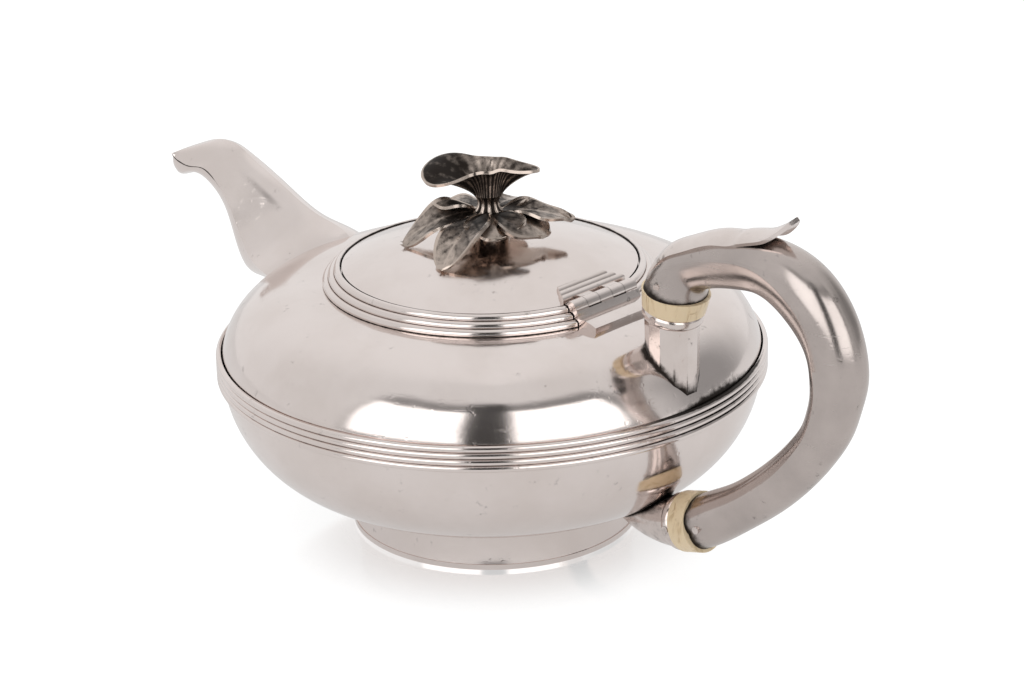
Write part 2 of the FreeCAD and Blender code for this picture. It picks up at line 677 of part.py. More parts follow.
def spout_section(station, inset):
    """Closed section between a front and a rear point: round front, arris, flat side, round rear."""
    front_reach, front_rise, rear_reach, rear_rise, half_width, rear_half = station
    front = (-BODY_RADIUS - front_reach, SEAM_Z + front_rise)
    rear = (-BODY_RADIUS - rear_reach, SEAM_Z + rear_rise)
    depth = math.hypot(rear[0] - front[0], rear[1] - front[1])
    along = ((rear[0] - front[0]) / depth, (rear[1] - front[1]) / depth)

    def corner(share, y):
        distance = inset + share * (depth - 2 * inset)
        return FreeCAD.Vector(front[0] + along[0] * distance, y, front[1] + along[1] * distance)

    wide = half_width - inset
    narrow = rear_half - inset
    side_share = (SPOUT_ARRIS_SHARE + SPOUT_REAR_SHARE) / 2
    side_width = (wide + narrow) / 2 - SPOUT_SIDE_HOLLOW
    near_arris = corner(SPOUT_ARRIS_SHARE, -wide)
    far_arris = corner(SPOUT_ARRIS_SHARE, wide)
    near_rear = corner(SPOUT_REAR_SHARE, -narrow)
    far_rear = corner(SPOUT_REAR_SHARE, narrow)
    edges = [
        Part.Arc(near_arris, corner(0.0, 0.0), far_arris).toShape(),
        Part.Arc(far_arris, corner(side_share, side_width), far_rear).toShape(),
        Part.Arc(far_rear, corner(1.0, 0.0), near_rear).toShape(),
        Part.Arc(near_rear, corner(side_share, -side_width), near_arris).toShape(),
    ]
    return Part.Wire(edges)


def spout():
    outer = Part.makeLoft([spout_section(s, 0.0) for s in SPOUT_STATIONS], True)
    inner = Part.makeLoft([spout_section(s, SPOUT_WALL) for s in SPOUT_STATIONS], True)
    return outer.cut(inner).cut(body_block())


# Handle and its joints

def on_upper_axis(distance):
    """Point on the leaning axis of the upper joint, from the middle of the collar's seat."""
    return moved((UPPER_X, COLLAR_Z), 90 - UPPER_LEAN, distance)


def on_lower_axis(distance):
    """Point on the rising axis of the lower joint, from the middle of the ring's inner face."""
    return moved((LOWER_RING_X, LOWER_Z), LOWER_TILT, distance)


def set_on(shape, lean, place):
    """A shape made on the Z axis, leant towards X and moved to its place."""
    shape.rotate(FreeCAD.Vector(0, 0, 0), FreeCAD.Vector(0, 1, 0), lean)
    shape.translate(vector(*place))
    return shape


def handle_start():
    return on_upper_axis(COLLAR_HEIGHT + UPPER_RING_HEIGHT)


def handle_end():
    return on_lower_axis(LOWER_RING_HEIGHT)


def handle_run():
    stops = [
        (BODY_RADIUS + HANDLE_SPRING_REACH, SEAM_Z + HANDLE_SPRING_RISE),
        (BODY_RADIUS + HANDLE_CREST_REACH, SEAM_Z + HANDLE_CREST_RISE),
        (BODY_RADIUS + HANDLE_BACK_REACH, SEAM_Z + HANDLE_BACK_RISE),
        (BODY_RADIUS + HANDLE_TURN_REACH, SEAM_Z + HANDLE_TURN_RISE),
        (BODY_RADIUS + HANDLE_TAIL_REACH, SEAM_Z + HANDLE_TAIL_RISE),
        handle_end(),
    ]
    return tangent_arcs(handle_start(), 90 - UPPER_LEAN, stops)


def handle_frame(run, stretch, share):
    """Centre of a section and its outward direction; the last one squares up to the lower ring."""
    centre, heading = place_on(run[stretch], share)
    if stretch == len(run) - 1:
        heading = heading + (180 + LOWER_TILT - (run[-1][1] + run[-1][2]) % 360) * share
    return centre, heading + 90


def even_stations(run, stations):
    """Stations at even steps along the centre line, with their sizes eased in between the given ones."""
    lengths = [arc_length(piece) for piece in run]
    marks = [sum(lengths[:station[0]]) + station[1] * lengths[station[0]] for station in stations]
    count = round((marks[-1] - marks[0]) / HANDLE_STEP)
    dense = []
    for step in range(count + 1):
        mark = marks[0] + (marks[-1] - marks[0]) * step / count
        above = min(sum(mark >= other for other in marks), len(marks) - 1)
        share = (mark - marks[above - 1]) / (marks[above] - marks[above - 1])
        ease = (1 - math.cos(math.pi * share)) / 2
        sizes = [a + (b - a) * ease for a, b in zip(stations[above - 1][2:], stations[above][2:])]
        stretch = min(sum(mark >= sum(lengths[:number + 1]) for number in range(len(run))), len(run) - 1)
        dense.append((stretch, (mark - sum(lengths[:stretch])) / lengths[stretch], *sizes))
    return dense


def even_arc(start, middle, end):
    """Arc as a curve without weights, so that sections of different turns blend evenly in a loft."""
    shares = [step / ARC_SPANS for step in range(ARC_SPANS + 1)]
    points = Part.Arc(start, middle, end).toShape().discretize(len(shares))
    curve = Part.BSplineCurve()
    curve.interpolate(Points=points, Parameters=shares)
    return curve.toShape()


def handle_section(run, station, inset):
    """Broad curved back between two ridges, nearly flat sides and a narrow round inner face."""
    stretch, share, outer, inner, half_width, roundness, ridge_share = station
    centre, outward = handle_frame(run, stretch, share)
    outer = outer - inset
    inner = inner - inset
    half_width = half_width - inset
    ridge = ridge_share * outer
    heel = -HEEL_SHARE * inner
    heel_width = half_width * (HEEL_WIDTH_SHARE + HEEL_ROUNDING * roundness)
    flank = (ridge + heel) / 2
    bulge = half_width * (FLANK_BULGE + FLANK_ROUNDING * roundness)
    flank_width = (half_width + heel_width) / 2 + bulge

    def corner(depth, width):
        x, z = moved(centre, outward, depth)
        return vector(x, z, width)

    edges = [
        even_arc(corner(ridge, -half_width), corner(outer, 0), corner(ridge, half_width)),
        even_arc(corner(ridge, half_width), corner(flank, flank_width), corner(heel, heel_width)),
        even_arc(corner(heel, heel_width), corner(-inner, 0), corner(heel, -heel_width)),
        even_arc(corner(heel, -heel_width), corner(flank, -flank_width), corner(ridge, -half_width)),
    ]
    return Part.Wire(edges)


def handle_loft(stations, inset):
    run = handle_run()
    wires = [handle_section(run, station, inset) for station in even_stations(run, stations)]
    return Part.makeLoft(wires, True, False, False, LOFT_DEGREE)


def handle_skin():
    """The handle filled in."""
    return handle_loft(HANDLE_STATIONS, 0.0)


def handle_pin_places():
    upper = on_upper_axis(COLLAR_HEIGHT + UPPER_RING_HEIGHT + CROSS_PIN_INSET)
    return [upper, on_lower_axis(LOWER_RING_HEIGHT + CROSS_PIN_INSET)]


def handle_half(side):
    """Half shell with half a bore for a spigot at each end, and holes for the cross pins."""
    first, last = HOLLOW_STATIONS
    hollow = handle_loft(HANDLE_STATIONS[first:last + 1], HANDLE_WALL)
    upper_bore = Part.makeCylinder(SPIGOT_RADIUS + SPIGOT_FIT, SPIGOT_LENGTH)
    set_on(upper_bore, UPPER_LEAN, handle_start())
    lower_bore = Part.makeCylinder(LOWER_SPIGOT_RADIUS + SPIGOT_FIT, LOWER_SPIGOT_LENGTH)
    set_on(lower_bore, 90 - LOWER_TILT, handle_end())
    half_space = box((-FAR, min(side * FAR, 0), -FAR), (FAR, max(side * FAR, 0), FAR))
    body = handle_skin().common(half_space).cut(hollow).cut(upper_bore).cut(lower_bore)
    return drilled(body, handle_pin_places())


def leaf_section(run, station):
    """Cambered strip over the back of the handle."""
    stretch, share, lift, half_width, depth, camber = station
    centre, outward = handle_frame(run, stretch, share)
    back = HANDLE_STATIONS[2][2]

    def corner(distance, y):
        x, z = moved(centre, outward, back + distance)
        return vector(x, z, y)

    side = lift - camber
    edges = [
        Part.Arc(corner(side, -half_width), corner(lift, 0), corner(side, half_width)).toShape(),
        Part.LineSegment(corner(side, half_width), corner(side - depth, half_width)).toShape(),
        Part.Arc(corner(side - depth, half_width), corner(lift - depth, 0),
                 corner(side - depth, -half_width)).toShape(),
        Part.LineSegment(corner(side - depth, -half_width), corner(side, -half_width)).toShape(),
    ]
    return Part.Wire(edges)


def thumb_leaf():
    run = handle_run()
    blank = Part.makeLoft([leaf_section(run, s) for s in LEAF_STATIONS], True, False, False, LOFT_DEGREE)
    return blank.cut(handle_skin())


def ring_with_spigots(base_radius, top_radius, height, spigot, length):
    """Ring from z = 0 to its height, with a spigot below and above."""
    return turned(lines((0, -length), (spigot, -length), (spigot, 0), (base_radius, 0), (top_radius, height),
                        (spigot, height), (spigot, height + length), (0, height + length), (0, -length)))


def upper_pin_places():
    return [on_upper_axis(COLLAR_HEIGHT / 2), handle_pin_places()[0]]


def lower_pin_places():
    return [on_lower_axis(-COLLAR_HEIGHT / 2), handle_pin_places()[1]]


def drilled(solid, places):
    for x, z in places:
        solid = solid.cut(cross_pin(CROSS_PIN_RADIUS + CROSS_PIN_FIT, x, z, FAR))
    return solid


def upper_insulator():
    ring = ring_with_spigots(UPPER_RING_RADIUS - UPPER_RING_TAPER, UPPER_RING_RADIUS, UPPER_RING_HEIGHT,
                             SPIGOT_RADIUS, SPIGOT_LENGTH)
    set_on(ring, UPPER_LEAN, on_upper_axis(COLLAR_HEIGHT))
    return drilled(ring, upper_pin_places())


def lower_insulator():
    ring = ring_with_spigots(LOWER_RING_RADIUS, LOWER_RING_RADIUS, LOWER_RING_HEIGHT,
                             LOWER_SPIGOT_RADIUS, LOWER_SPIGOT_LENGTH)
    set_on(ring, 90 - LOWER_TILT, on_lower_axis(0))
    return drilled(ring, lower_pin_places())


def collar(radius, bore):
    """Ring with a rounded edge, on the Z axis from z = 0 to the collar's height."""
    edge = COLLAR_HEIGHT / 2
    edges = lines((bore, COLLAR_HEIGHT), (bore, 0), (radius - edge / 2, 0))
    edges.append(arc((radius - edge / 2, 0), (radius, edge), (radius - edge / 2, COLLAR_HEIGHT)))
    edges += lines((radius - edge / 2, COLLAR_HEIGHT), (bore, COLLAR_HEIGHT))
    return turned(edges)


def upper_collar():
    ring = collar(COLLAR_RADIUS, SPIGOT_RADIUS + SPIGOT_FIT)
    set_on(ring, UPPER_LEAN, on_upper_axis(0))
    return drilled(ring, upper_pin_places()[:1])


def lower_collar():
    ring = collar(LOWER_COLLAR_RADIUS, LOWER_SPIGOT_RADIUS + SPIGOT_FIT)
    set_on(ring, 90 - LOWER_TILT, on_lower_axis(-COLLAR_HEIGHT))
    return drilled(ring, lower_pin_places()[:1]).cut(body_block())


def cross_pins(places, lengths):
    pins = [cross_pin(CROSS_PIN_RADIUS, x, z, length) for (x, z), length in zip(places, lengths)]
    return Part.makeCompound(pins)


def facet_ring(radius, z):
    corners = []
    for facet in range(SOCKET_FACETS + 1):
        turn = math.radians((facet + 0.5) * 360 / SOCKET_FACETS)
        corners.append(FreeCAD.Vector(radius * math.cos(turn), radius * math.sin(turn), z))
    return Part.makePolygon(corners)


def upper_socket():
    """Hollow faceted column from the shoulder to the collar, its top cut to the collar's lean."""
    top = COLLAR_Z + COLLAR_HEIGHT
    ends = [facet_ring(SOCKET_BASE_RADIUS, SEAM_Z), facet_ring(SOCKET_TOP_RADIUS, top)]
    outer = Part.makeLoft(ends, True, True)
    bore = Part.makeCone(SOCKET_BASE_RADIUS - SOCKET_WALL, SOCKET_TOP_RADIUS - SOCKET_WALL, top - SEAM_Z,
                         FreeCAD.Vector(0, 0, SEAM_Z))
    column = outer.cut(bore)
    column.translate(vector(UPPER_X, 0))
    above = set_on(box((-FAR, -FAR, 0), (FAR, FAR, FAR)), UPPER_LEAN, on_upper_axis(0))
    return column.cut(above).cut(body_block())


def round_wire(centre, radius, tilt):
    circle = Part.Circle(vector(*centre), FreeCAD.Vector(math.cos(tilt), 0, math.sin(tilt)), radius)
    return Part.Wire(circle.toShape())


def lower_socket():
    """Tapering horn from the lower collar that runs up under the bowl."""
    x, z = on_lower_axis(-COLLAR_HEIGHT)
    fall = LOWER_SOCKET_TAIL * math.tan(math.radians(LOWER_TILT))
    places = []
    for share in (0.0, 0.5, 1.0):
        centre = (x - LOWER_SOCKET_TAIL * share, z - fall * share + LOWER_SOCKET_LIFT * share ** 2)
        radius = LOWER_SOCKET_RADIUS + (LOWER_SOCKET_END_RADIUS - LOWER_SOCKET_RADIUS) * share
        slope = math.atan2(fall - 2 * LOWER_SOCKET_LIFT * share, LOWER_SOCKET_TAIL)
        places.append((centre, radius, slope))
    outer = Part.makeLoft([round_wire(*place) for place in places], True)
    bore = set_on(Part.makeCylinder(LOWER_SPIGOT_RADIUS + SPIGOT_FIT, LOWER_SPIGOT_LENGTH), 90 - LOWER_TILT,
                  on_lower_axis(-COLLAR_HEIGHT - LOWER_SPIGOT_LENGTH))
    return outer.cut(bore).cut(body_block())


def build():
    plate = hinge_plate()
    bar = lid_hinge_bar()
    lower_depth = HANDLE_STATIONS[-1][2]
    upper_depth = HANDLE_STATIONS[0][2]
    return {
        "bowl": bowl(),
        "shoulder": shoulder(),
        "girdle_band": girdle_band(),
        "foot_ring": foot_ring(),
        "rim_mount": rim_mount(),
        "lid_bearer": lid_bearer(),
        "spout": spout(),
        "hinge_plate": plate,
        "hinge_knuckles_fixed": hinge_knuckles_fixed(plate),
        "hinge_pin": hinge_pin(),
        "upper_socket": upper_socket(),
        "upper_collar": upper_collar(),
        "upper_insulator": upper_insulator(),
        "upper_pins": cross_pins(upper_pin_places(), (COLLAR_RADIUS, upper_depth)),
        "handle_near": handle_half(-1),
        "handle_far": handle_half(1),
        "thumb_leaf": thumb_leaf(),
        "lower_insulator": lower_insulator(),
        "lower_pins": cross_pins(lower_pin_places(), (LOWER_COLLAR_RADIUS, lower_depth)),
        "lower_collar": lower_collar(),
        "lower_socket": lower_socket(),
        "lid_dome": lid_dome(),
        "lid_hinge_bar": bar,
        "hinge_knuckles_lid": hinge_knuckles_lid(bar),
        "finial_leaves": finial_leaves(),
        "finial_stem": finial_stem(),
        "finial_bloom": finial_bloom(),
        "finial_stud": finial_stud(),
        "finial_washer": finial_washer(),
        "finial_nut": finial_nut(),
    }


os.makedirs("parts", exist_ok=True)
for name, shape in build().items():
    shape.exportStep(os.path.join("parts", name + ".step"))
    solids = shape.Solids
    volume = sum(solid.Volume for solid in solids)
    print(name, len(solids), "solids", round(volume, 1), "mm3", "valid" if shape.isValid() else "NOT VALID")
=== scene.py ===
import math

import bmesh
import bpy
import numpy as np
from mathutils import Matrix, Vector


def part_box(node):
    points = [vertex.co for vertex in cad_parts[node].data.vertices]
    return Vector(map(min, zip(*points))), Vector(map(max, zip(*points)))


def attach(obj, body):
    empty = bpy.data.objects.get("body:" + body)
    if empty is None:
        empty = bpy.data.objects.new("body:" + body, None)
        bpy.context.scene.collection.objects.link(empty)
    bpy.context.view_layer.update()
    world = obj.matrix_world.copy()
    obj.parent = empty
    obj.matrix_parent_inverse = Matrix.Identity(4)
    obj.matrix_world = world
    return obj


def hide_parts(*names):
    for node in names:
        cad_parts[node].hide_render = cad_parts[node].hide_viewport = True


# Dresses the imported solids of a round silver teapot: smooth raised walls, reeds, a cast flower on the
# lid, a hollow scroll handle on ivory rings, and a white studio. Metres, in the frame of the solids.

bl_info = {
    "name": "Silver Teapot",
    "version": (1, 0, 0),
    "blender": (4, 5, 0),
    "location": "View3D > Sidebar > Teapot",
    "description": "Dresses the solids of a round silver teapot and sets up a white studio",
    "category": "Object",
}

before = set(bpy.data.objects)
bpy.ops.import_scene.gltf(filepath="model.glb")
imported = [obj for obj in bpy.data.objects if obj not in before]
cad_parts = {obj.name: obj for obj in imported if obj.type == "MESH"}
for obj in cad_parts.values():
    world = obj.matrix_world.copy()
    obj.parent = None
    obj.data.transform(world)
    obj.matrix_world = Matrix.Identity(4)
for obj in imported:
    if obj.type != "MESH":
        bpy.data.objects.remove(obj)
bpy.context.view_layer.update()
MM = 0.001


# Places read from the frame

def node_points(node):
    """Points of a node's mesh, one row each."""
    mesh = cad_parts[node].data
    points = np.empty(3 * len(mesh.vertices))
    mesh.vertices.foreach_get("co", points)
    return points.reshape(-1, 3)


def turned_radius(node, pick=max):
    """Largest or smallest distance of a node from the body's axis."""
    points = node_points(node)
    return float(pick(np.hypot(points[:, 0], points[:, 1])))


def middle_and_half(node):
    """Middle of a node's box, and half of its size."""
    low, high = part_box(node)
    return (low + high) / 2, (high - low) / 2


BODY_RADIUS = turned_radius("bowl")
SEAM_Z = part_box("bowl")[1].z
FOOT_TOP_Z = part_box("foot_ring")[1].z
FOOT_BASE_RADIUS = turned_radius("foot_ring")
RIM_SEAT_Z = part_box("shoulder")[1].z
RIM_OUTER_RADIUS = turned_radius("rim_mount")
RIM_INNER_RADIUS = turned_radius("lid_bearer")
OPENING_RADIUS = turned_radius("lid_bearer", min)
LEDGE_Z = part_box("lid_bearer")[1].z
LID_RADIUS = turned_radius("lid_dome")
LID_EDGE_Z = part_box("rim_mount")[1].z
LID_TOP_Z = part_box("lid_dome")[1].z
LID_RISE = LID_TOP_Z - LID_EDGE_Z
LID_SPHERE = (LID_RADIUS ** 2 + LID_RISE ** 2) / (2 * LID_RISE)
LID_CHORD_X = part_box("lid_dome")[1].x
HINGE_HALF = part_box("hinge_pin")[1].y
SHELF_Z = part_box("finial_leaves")[1].z
STEM_TOP_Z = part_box("finial_stem")[1].z
UPPER_COLLAR = middle_and_half("upper_collar")[0]
LOWER_COLLAR = middle_and_half("lower_collar")[0]

# Axes of the handle's joints: lean of the upper one, rise of the lower one, and what lies along them
UPPER_LEAN = math.radians(10.0)
LOWER_TILT = math.radians(15.0)
COLLAR_HEIGHT = 3.6 * MM
UPPER_RING_HEIGHT = 5.4 * MM
LOWER_RING_HEIGHT = 6.2 * MM

# Walls and lines of the body, as insets from its radius and rises from the foot or the seam
WALL = 1.0 * MM
FOOT_SEAT_RADIUS = 42.0 * MM
FOOT_WALL = 1.6 * MM
FOOT_STRIP = 1.6 * MM
FOOT_WAIST = 0.7 * MM
BOWL_SIDE = (5.0 * MM, 18.9 * MM)
BOWL_KNEE = (19.0 * MM, 5.0 * MM)
SHOULDER_SIDE = (4.7 * MM, 13.0 * MM)
SHOULDER_TOP = (16.0 * MM, 21.0 * MM)
GIRDLE_REEDS = 4
GIRDLE_PITCH = 2.0 * MM
GIRDLE_BACK = 0.5 * MM
RIM_REEDS = 3
RIM_REED_BULGE = 0.42
LID_WALL = 1.1 * MM
LID_LAND = 2.6 * MM
HINGE_GAP = 0.35 * MM

# Oxide and painted shade: where a painted dark reflection of the handle gathers on the shoulder, how far
# painted shade spreads round the sockets, and how deep it is
# painted dark reflection of the handle on the shoulder: its bearing, spread, rise and depth
HANDLE_REFLECTION_BEARING = math.radians(8.0)
HANDLE_REFLECTION_SPREAD = math.radians(20.0)
DARKENING_RISE = 5.0 * MM
HANDLE_REFLECTION_DEPTH = 2.4
# painted shade round the lower socket on the bowl, and painted dark reflection of the handle round the
# upper socket on the shoulder
HALO_WIDTH = 1.3
HALO_HEIGHT = 1.1
BOWL_PAINTED_SHADE = 0.9
SHOULDER_PAINTED_REFLECTION = 0.8
GIRDLE_REAR_SHADE = 0.7
EDGE_SHADE_RISE = 0.6 * MM
# painted shade in the gap at the lid's edge
LID_EDGE_SHADE = 0.9
# painted shade on the joint pieces below the seam, under the bowl
LOWER_SOCKET_SHADE = 0.6

# Fineness of the meshes, in rows and steps
PROFILE_STEPS = 90
REED_STEPS = 14
FOOT_STEPS = 24
DOME_ROWS = 60
SPOUT_ROWS = 140
SPOUT_STEPS = 14
SPOUT_SEARCH_STEPS = 500
HANDLE_ROWS = 240
HANDLE_STEPS = 14
HANDLE_LENGTH_STEPS = 2000

# Spout stations, in millimetres out from the body wall and up from the seam: front reach, front rise,
# rear reach, rear rise, arris half width, rear half width, fullness of the front, lift of the sides
SPOUT_STATIONS = (
    (-14.0, -3.0, -25.0, 17.0, 21.0, 9.0, 0.5, 0.0),
    (0.6, 5.0, -18.0, 23.6, 22.5, 9.5, 2.0, 0.0),
    (15.0, 6.2, -5.5, 26.5, 18.0, 8.0, 4.0, 0.0),
    (26.8, 19.0, 12.0, 33.4, 12.6, 6.5, 3.2, 0.0),
    (37.8, 28.2, 24.5, 38.8, 9.6, 5.6, 2.2, 0.1),
    (47.0, 30.2, 28.0, 40.5, 8.6, 5.0, 1.4, 0.3),
    (53.6, 28.2, 32.0, 42.0, 8.6, 5.0, 1.0, 0.3),
    (57.2, 28.6, 38.5, 42.2, 8.6, 5.0, 0.7, 0.3),
    (58.4, 31.4, 45.0, 40.6, 8.6, 5.0, 0.5, 0.2),
    (57.0, 34.4, 50.5, 38.4, 8.6, 5.0, 0.4, 0.2),
)
SPOUT_ARRIS_SHARE = 0.37
SPOUT_REAR_SHARE = 0.80
SPOUT_HOLLOW = 0.2 * MM
SPOUT_WALL = 1.1 * MM
SPOUT_SINK = 0.3 * MM
SPOUT_ROUNDING = 6.5
SPOUT_SEAM_SHARE = 0.012
# painted dark reflection along the spout's arrises, darkest toward the lip
ARRIS_SHADE = 0.55
ARRIS_DARK_START = 0.6
ARRIS_DARK_RUN = 0.1

# Handle stops, in millimetres out from the body wall and up from the seam
HANDLE_STOPS = ((0.0, 47.3), (20.6, 52.8), (50.8, 28.3), (44.6, 4.9), (20.3, -20.0))
# Handle stations: place along the run of arcs, outer depth, inner depth, half width, roundness,
# where the back ends as a share of the outer depth, and how far below that the ridge lies
HANDLE_STATIONS = (
    (0.00, 9.4, 8.8, 8.6, 1.0, 0.45, 0.1),
    (0.45, 7.7, 8.0, 8.2, 0.8, 0.40, 0.1),
    (1.00, 7.2, 7.2, 7.8, 0.3, 0.30, 0.1),
    (2.00, 8.5, 8.0, 7.8, 0.0, 0.22, 0.1),
    (2.50, 10.1, 9.4, 7.9, 0.0, 0.05, 0.5),
    (3.00, 9.4, 7.9, 7.6, 0.0, 0.02, 2.4),
    (3.50, 7.7, 7.3, 7.0, 0.0, 0.02, 2.4),
    (4.00, 7.1, 6.6, 6.4, 0.0, 0.02, 2.2),
    (5.00, 6.9, 7.1, 6.5, 0.3, 0.05, 1.6),
    (6.00, 8.0, 8.2, 7.2, 1.0, 0.20, 0.1),
)
# Shares of the section: heel's depth, then heel's width and cheek's fullness with what roundness adds
HEEL_SHARE = 0.74
HEEL_WIDTH = (0.62, 0.14)
CHEEK_FULLNESS = (0.05, 0.215)
HANDLE_EASE = 3.0
HANDLE_DIRT_ROWS = 9.0
# Thumb leaf stations: place along the handle, lift off its spring, half width, camber
LEAF_STATIONS = (
    (0.10, 2.8, 5.0, 2.6),
    (0.35, 1.9, 5.8, 3.0),
    (0.65, 1.6, 6.5, 3.3),
    (1.00, 1.3, 6.8, 3.4),
    (1.30, 1.7, 6.8, 3.3),
    (1.65, 2.2, 6.8, 3.1),
    (2.00, 2.7, 6.6, 2.8),
    (2.08, 3.6, 6.2, 2.6),
    (2.15, 5.2, 5.6, 2.6),
    (2.20, 7.7, 5.2, 3.0),
    (2.235, 10.3, 4.8, 3.0),
    (2.247, 11.5, 4.6, 2.8),
)
LEAF_BACK = HANDLE_STATIONS[2][1]
LEAF_WALL = 1.3 * MM
LEAF_TIP_SHARE = 0.12

# Camera, from the photograph's fit
CAMERA_AZIMUTH = math.radians(45.0)
CAMERA_REACH = 904.9 * MM
CAMERA_HEIGHT = 410.35 * MM
CAMERA_PITCH = math.radians(21.416)
CAMERA_YAW = math.radians(0.386)
CAMERA_ROLL = math.radians(-1.315)
FOCAL_PIXELS = 3205.6
IMAGE_WIDTH = 1024
SENSOR_WIDTH = 36.0

# Studio: floor's reach, tone, glow in the silver and what the camera sees more, gloss near and far; lamp
FLOOR_REACH = 4.0
FLOOR_TONE = 0.22
FLOOR_GLOW = 0.57
FLOOR_GLOW_SEEN = 0.33
FLOOR_SHINE = (0.42, 0.03)
FLOOR_SHINE_END = 75.0 * MM
FLOOR_ROUGHNESS = 0.09
LAMP_SIZE = 1.4
LAMP_HEIGHT = 1.6
WHITE = (1.0, 1.0, 1.0, 1.0)


class TeapotSizes(bpy.types.PropertyGroup):
    """Fineness of the meshes and the small sizes that the solids leave open."""
    turns: bpy.props.IntProperty(
        name="Turns", description="Steps round the body", default=288, min=48, max=512)
    leaf_wall: bpy.props.FloatProperty(
        name="Leaf wall", description="Thickness of the cast leaves", default=0.9 * MM, unit="LENGTH")
    flute_depth: bpy.props.FloatProperty(
        name="Flute depth", description="Depth of the flutes of the flower's stem", default=0.12,
        subtype="FACTOR")


class TeapotFinish(bpy.types.PropertyGroup):
    """Colours and gloss of the finishes."""
    silver: bpy.props.FloatVectorProperty(
        name="Silver", description="Worn polished silver", subtype="COLOR", default=(0.785, 0.71, 0.68))
    silver_shade: bpy.props.FloatVectorProperty(
        name="Tarnished silver", description="Silver under a film of tarnish", subtype="COLOR",
        default=(0.67, 0.59, 0.55))
    worn: bpy.props.FloatVectorProperty(
        name="Handled silver", description="Dull silver where it is held", subtype="COLOR",
        default=(0.56, 0.495, 0.465))
    # also the colour of the painted shade and painted dark reflections
    oxide: bpy.props.FloatVectorProperty(
        name="Oxide", description="Black oxide in the hollows", subtype="COLOR",
        default=(0.028, 0.022, 0.019))
    cast: bpy.props.FloatVectorProperty(
        name="Cast silver", description="Raised parts of the castings", subtype="COLOR",
        default=(0.60, 0.505, 0.44))
    ivory: bpy.props.FloatVectorProperty(
        name="Ivory", description="Aged ivory", subtype="COLOR", default=(0.86, 0.69, 0.46))
    ivory_stain: bpy.props.FloatVectorProperty(
        name="Ivory stain", description="Stained grain of the ivory", subtype="COLOR",
        default=(0.56, 0.39, 0.20))
    gloss: bpy.props.FloatProperty(
        name="Roughness", description="Roughness of the polished silver", default=0.13, min=0.0, max=1.0)


class TeapotStudio(bpy.types.PropertyGroup):
    """Levels of the white studio."""
    cove: bpy.props.FloatProperty(
        name="Cove", description="Brightness of the white cove in reflections", default=0.80)
    window: bpy.props.FloatProperty(
        name="Softboxes", description="Brightness of the two softboxes beside the camera", default=1.9)
    fill: bpy.props.FloatProperty(
        name="Fill", description="Soft light from all round", default=0.75)
    lamp: bpy.props.FloatProperty(
        name="Lamp", description="Power of the lamp overhead", default=9.0, unit="POWER")


# Curves and surfaces

def spline_through(knots, values, at, first=None, last=None):
    """Cubic spline with continuous curvature through the values at the knots, read at other places.

    The slopes m solve, with steps h and differences d,
    m[i-1]/h[i-1] + 2 m[i] (1/h[i-1] + 1/h[i]) + m[i+1]/h[i] = 3 (d[i-1]/h[i-1]^2 + d[i]/h[i]^2).
    An end without a given slope has no bend.
    """
    knots = np.asarray(knots, float)
    values = np.asarray(values, float)
    count = len(knots)
    flat = values.reshape(count, -1)
    h = np.diff(knots)
    d = np.diff(flat, axis=0)
    matrix = np.zeros((count, count))
    right = np.zeros_like(flat)
    inner = np.arange(1, count - 1)
    matrix[inner, inner - 1] = 1 / h[:-1]
    matrix[inner, inner] = 2 * (1 / h[:-1] + 1 / h[1:])
    matrix[inner, inner + 1] = 1 / h[1:]
    right[inner] = 3 * (d[:-1] / h[:-1, None] ** 2 + d[1:] / h[1:, None] ** 2)
    matrix[0, :2] = (2, 1) if first is None else (1, 0)
    right[0] = 3 * d[0] / h[0] if first is None else first
    matrix[-1, -2:] = (1, 2) if last is None else (0, 1)
    right[-1] = 3 * d[-1] / h[-1] if last is None else last
    slopes = np.linalg.solve(matrix, right)
    at = np.clip(np.asarray(at, float), knots[0], knots[-1])
    k = np.clip(np.searchsorted(knots, at, side="right") - 1, 0, count - 2)
    t = ((at - knots[k]) / h[k])[:, None]
    step = h[k][:, None]
    result = (flat[k] * (1 + 2 * t) * (1 - t) ** 2 + slopes[k] * step * t * (1 - t) ** 2
              + flat[k + 1] * t ** 2 * (3 - 2 * t) + slopes[k + 1] * step * t ** 2 * (t - 1))
    return result.reshape((len(at),) + values.shape[1:])


def run_lengths(points):
    """Length along a line of points, up to each point."""
    return np.concatenate([[0.0], np.cumsum(np.linalg.norm(np.diff(points, axis=0), axis=1))])


def line_through(points, first, last):
    """Smooth line through points of a profile, leaving and arriving in the given directions."""
    points = np.asarray(points, float)
    knots = run_lengths(points)
    return spline_through(knots, points, np.linspace(0, knots[-1], PROFILE_STEPS), first, last)


def shifted(line, distance):
    """The line moved sideways: each point goes along the left normal of the line there."""
    along = np.gradient(line, axis=0)
    along /= np.linalg.norm(along, axis=1)[:, None]
    return line + distance * np.stack([-along[:, 1], along[:, 0]], axis=1)


def softened(values, width):
    """Values averaged along their first axis by a bell of the given width in steps; the ends stay."""
    reach = int(3 * width)
    bell = np.exp(-0.5 * (np.arange(-reach, reach + 1) / width) ** 2)
    bell /= bell.sum()
    flat = values.reshape(len(values), -1)
    before = 2 * flat[0] - flat[reach:0:-1]
    after = 2 * flat[-1] - flat[-2:-reach - 2:-1]
    padded = np.concatenate([before, flat, after])
    columns = [np.convolve(column, bell, mode="valid") for column in padded.T]
    return np.stack(columns, axis=1).reshape(values.shape)


def pair(first, second):
    """Points of a plane from their two rows of values."""
    return np.stack([first, second], axis=1)


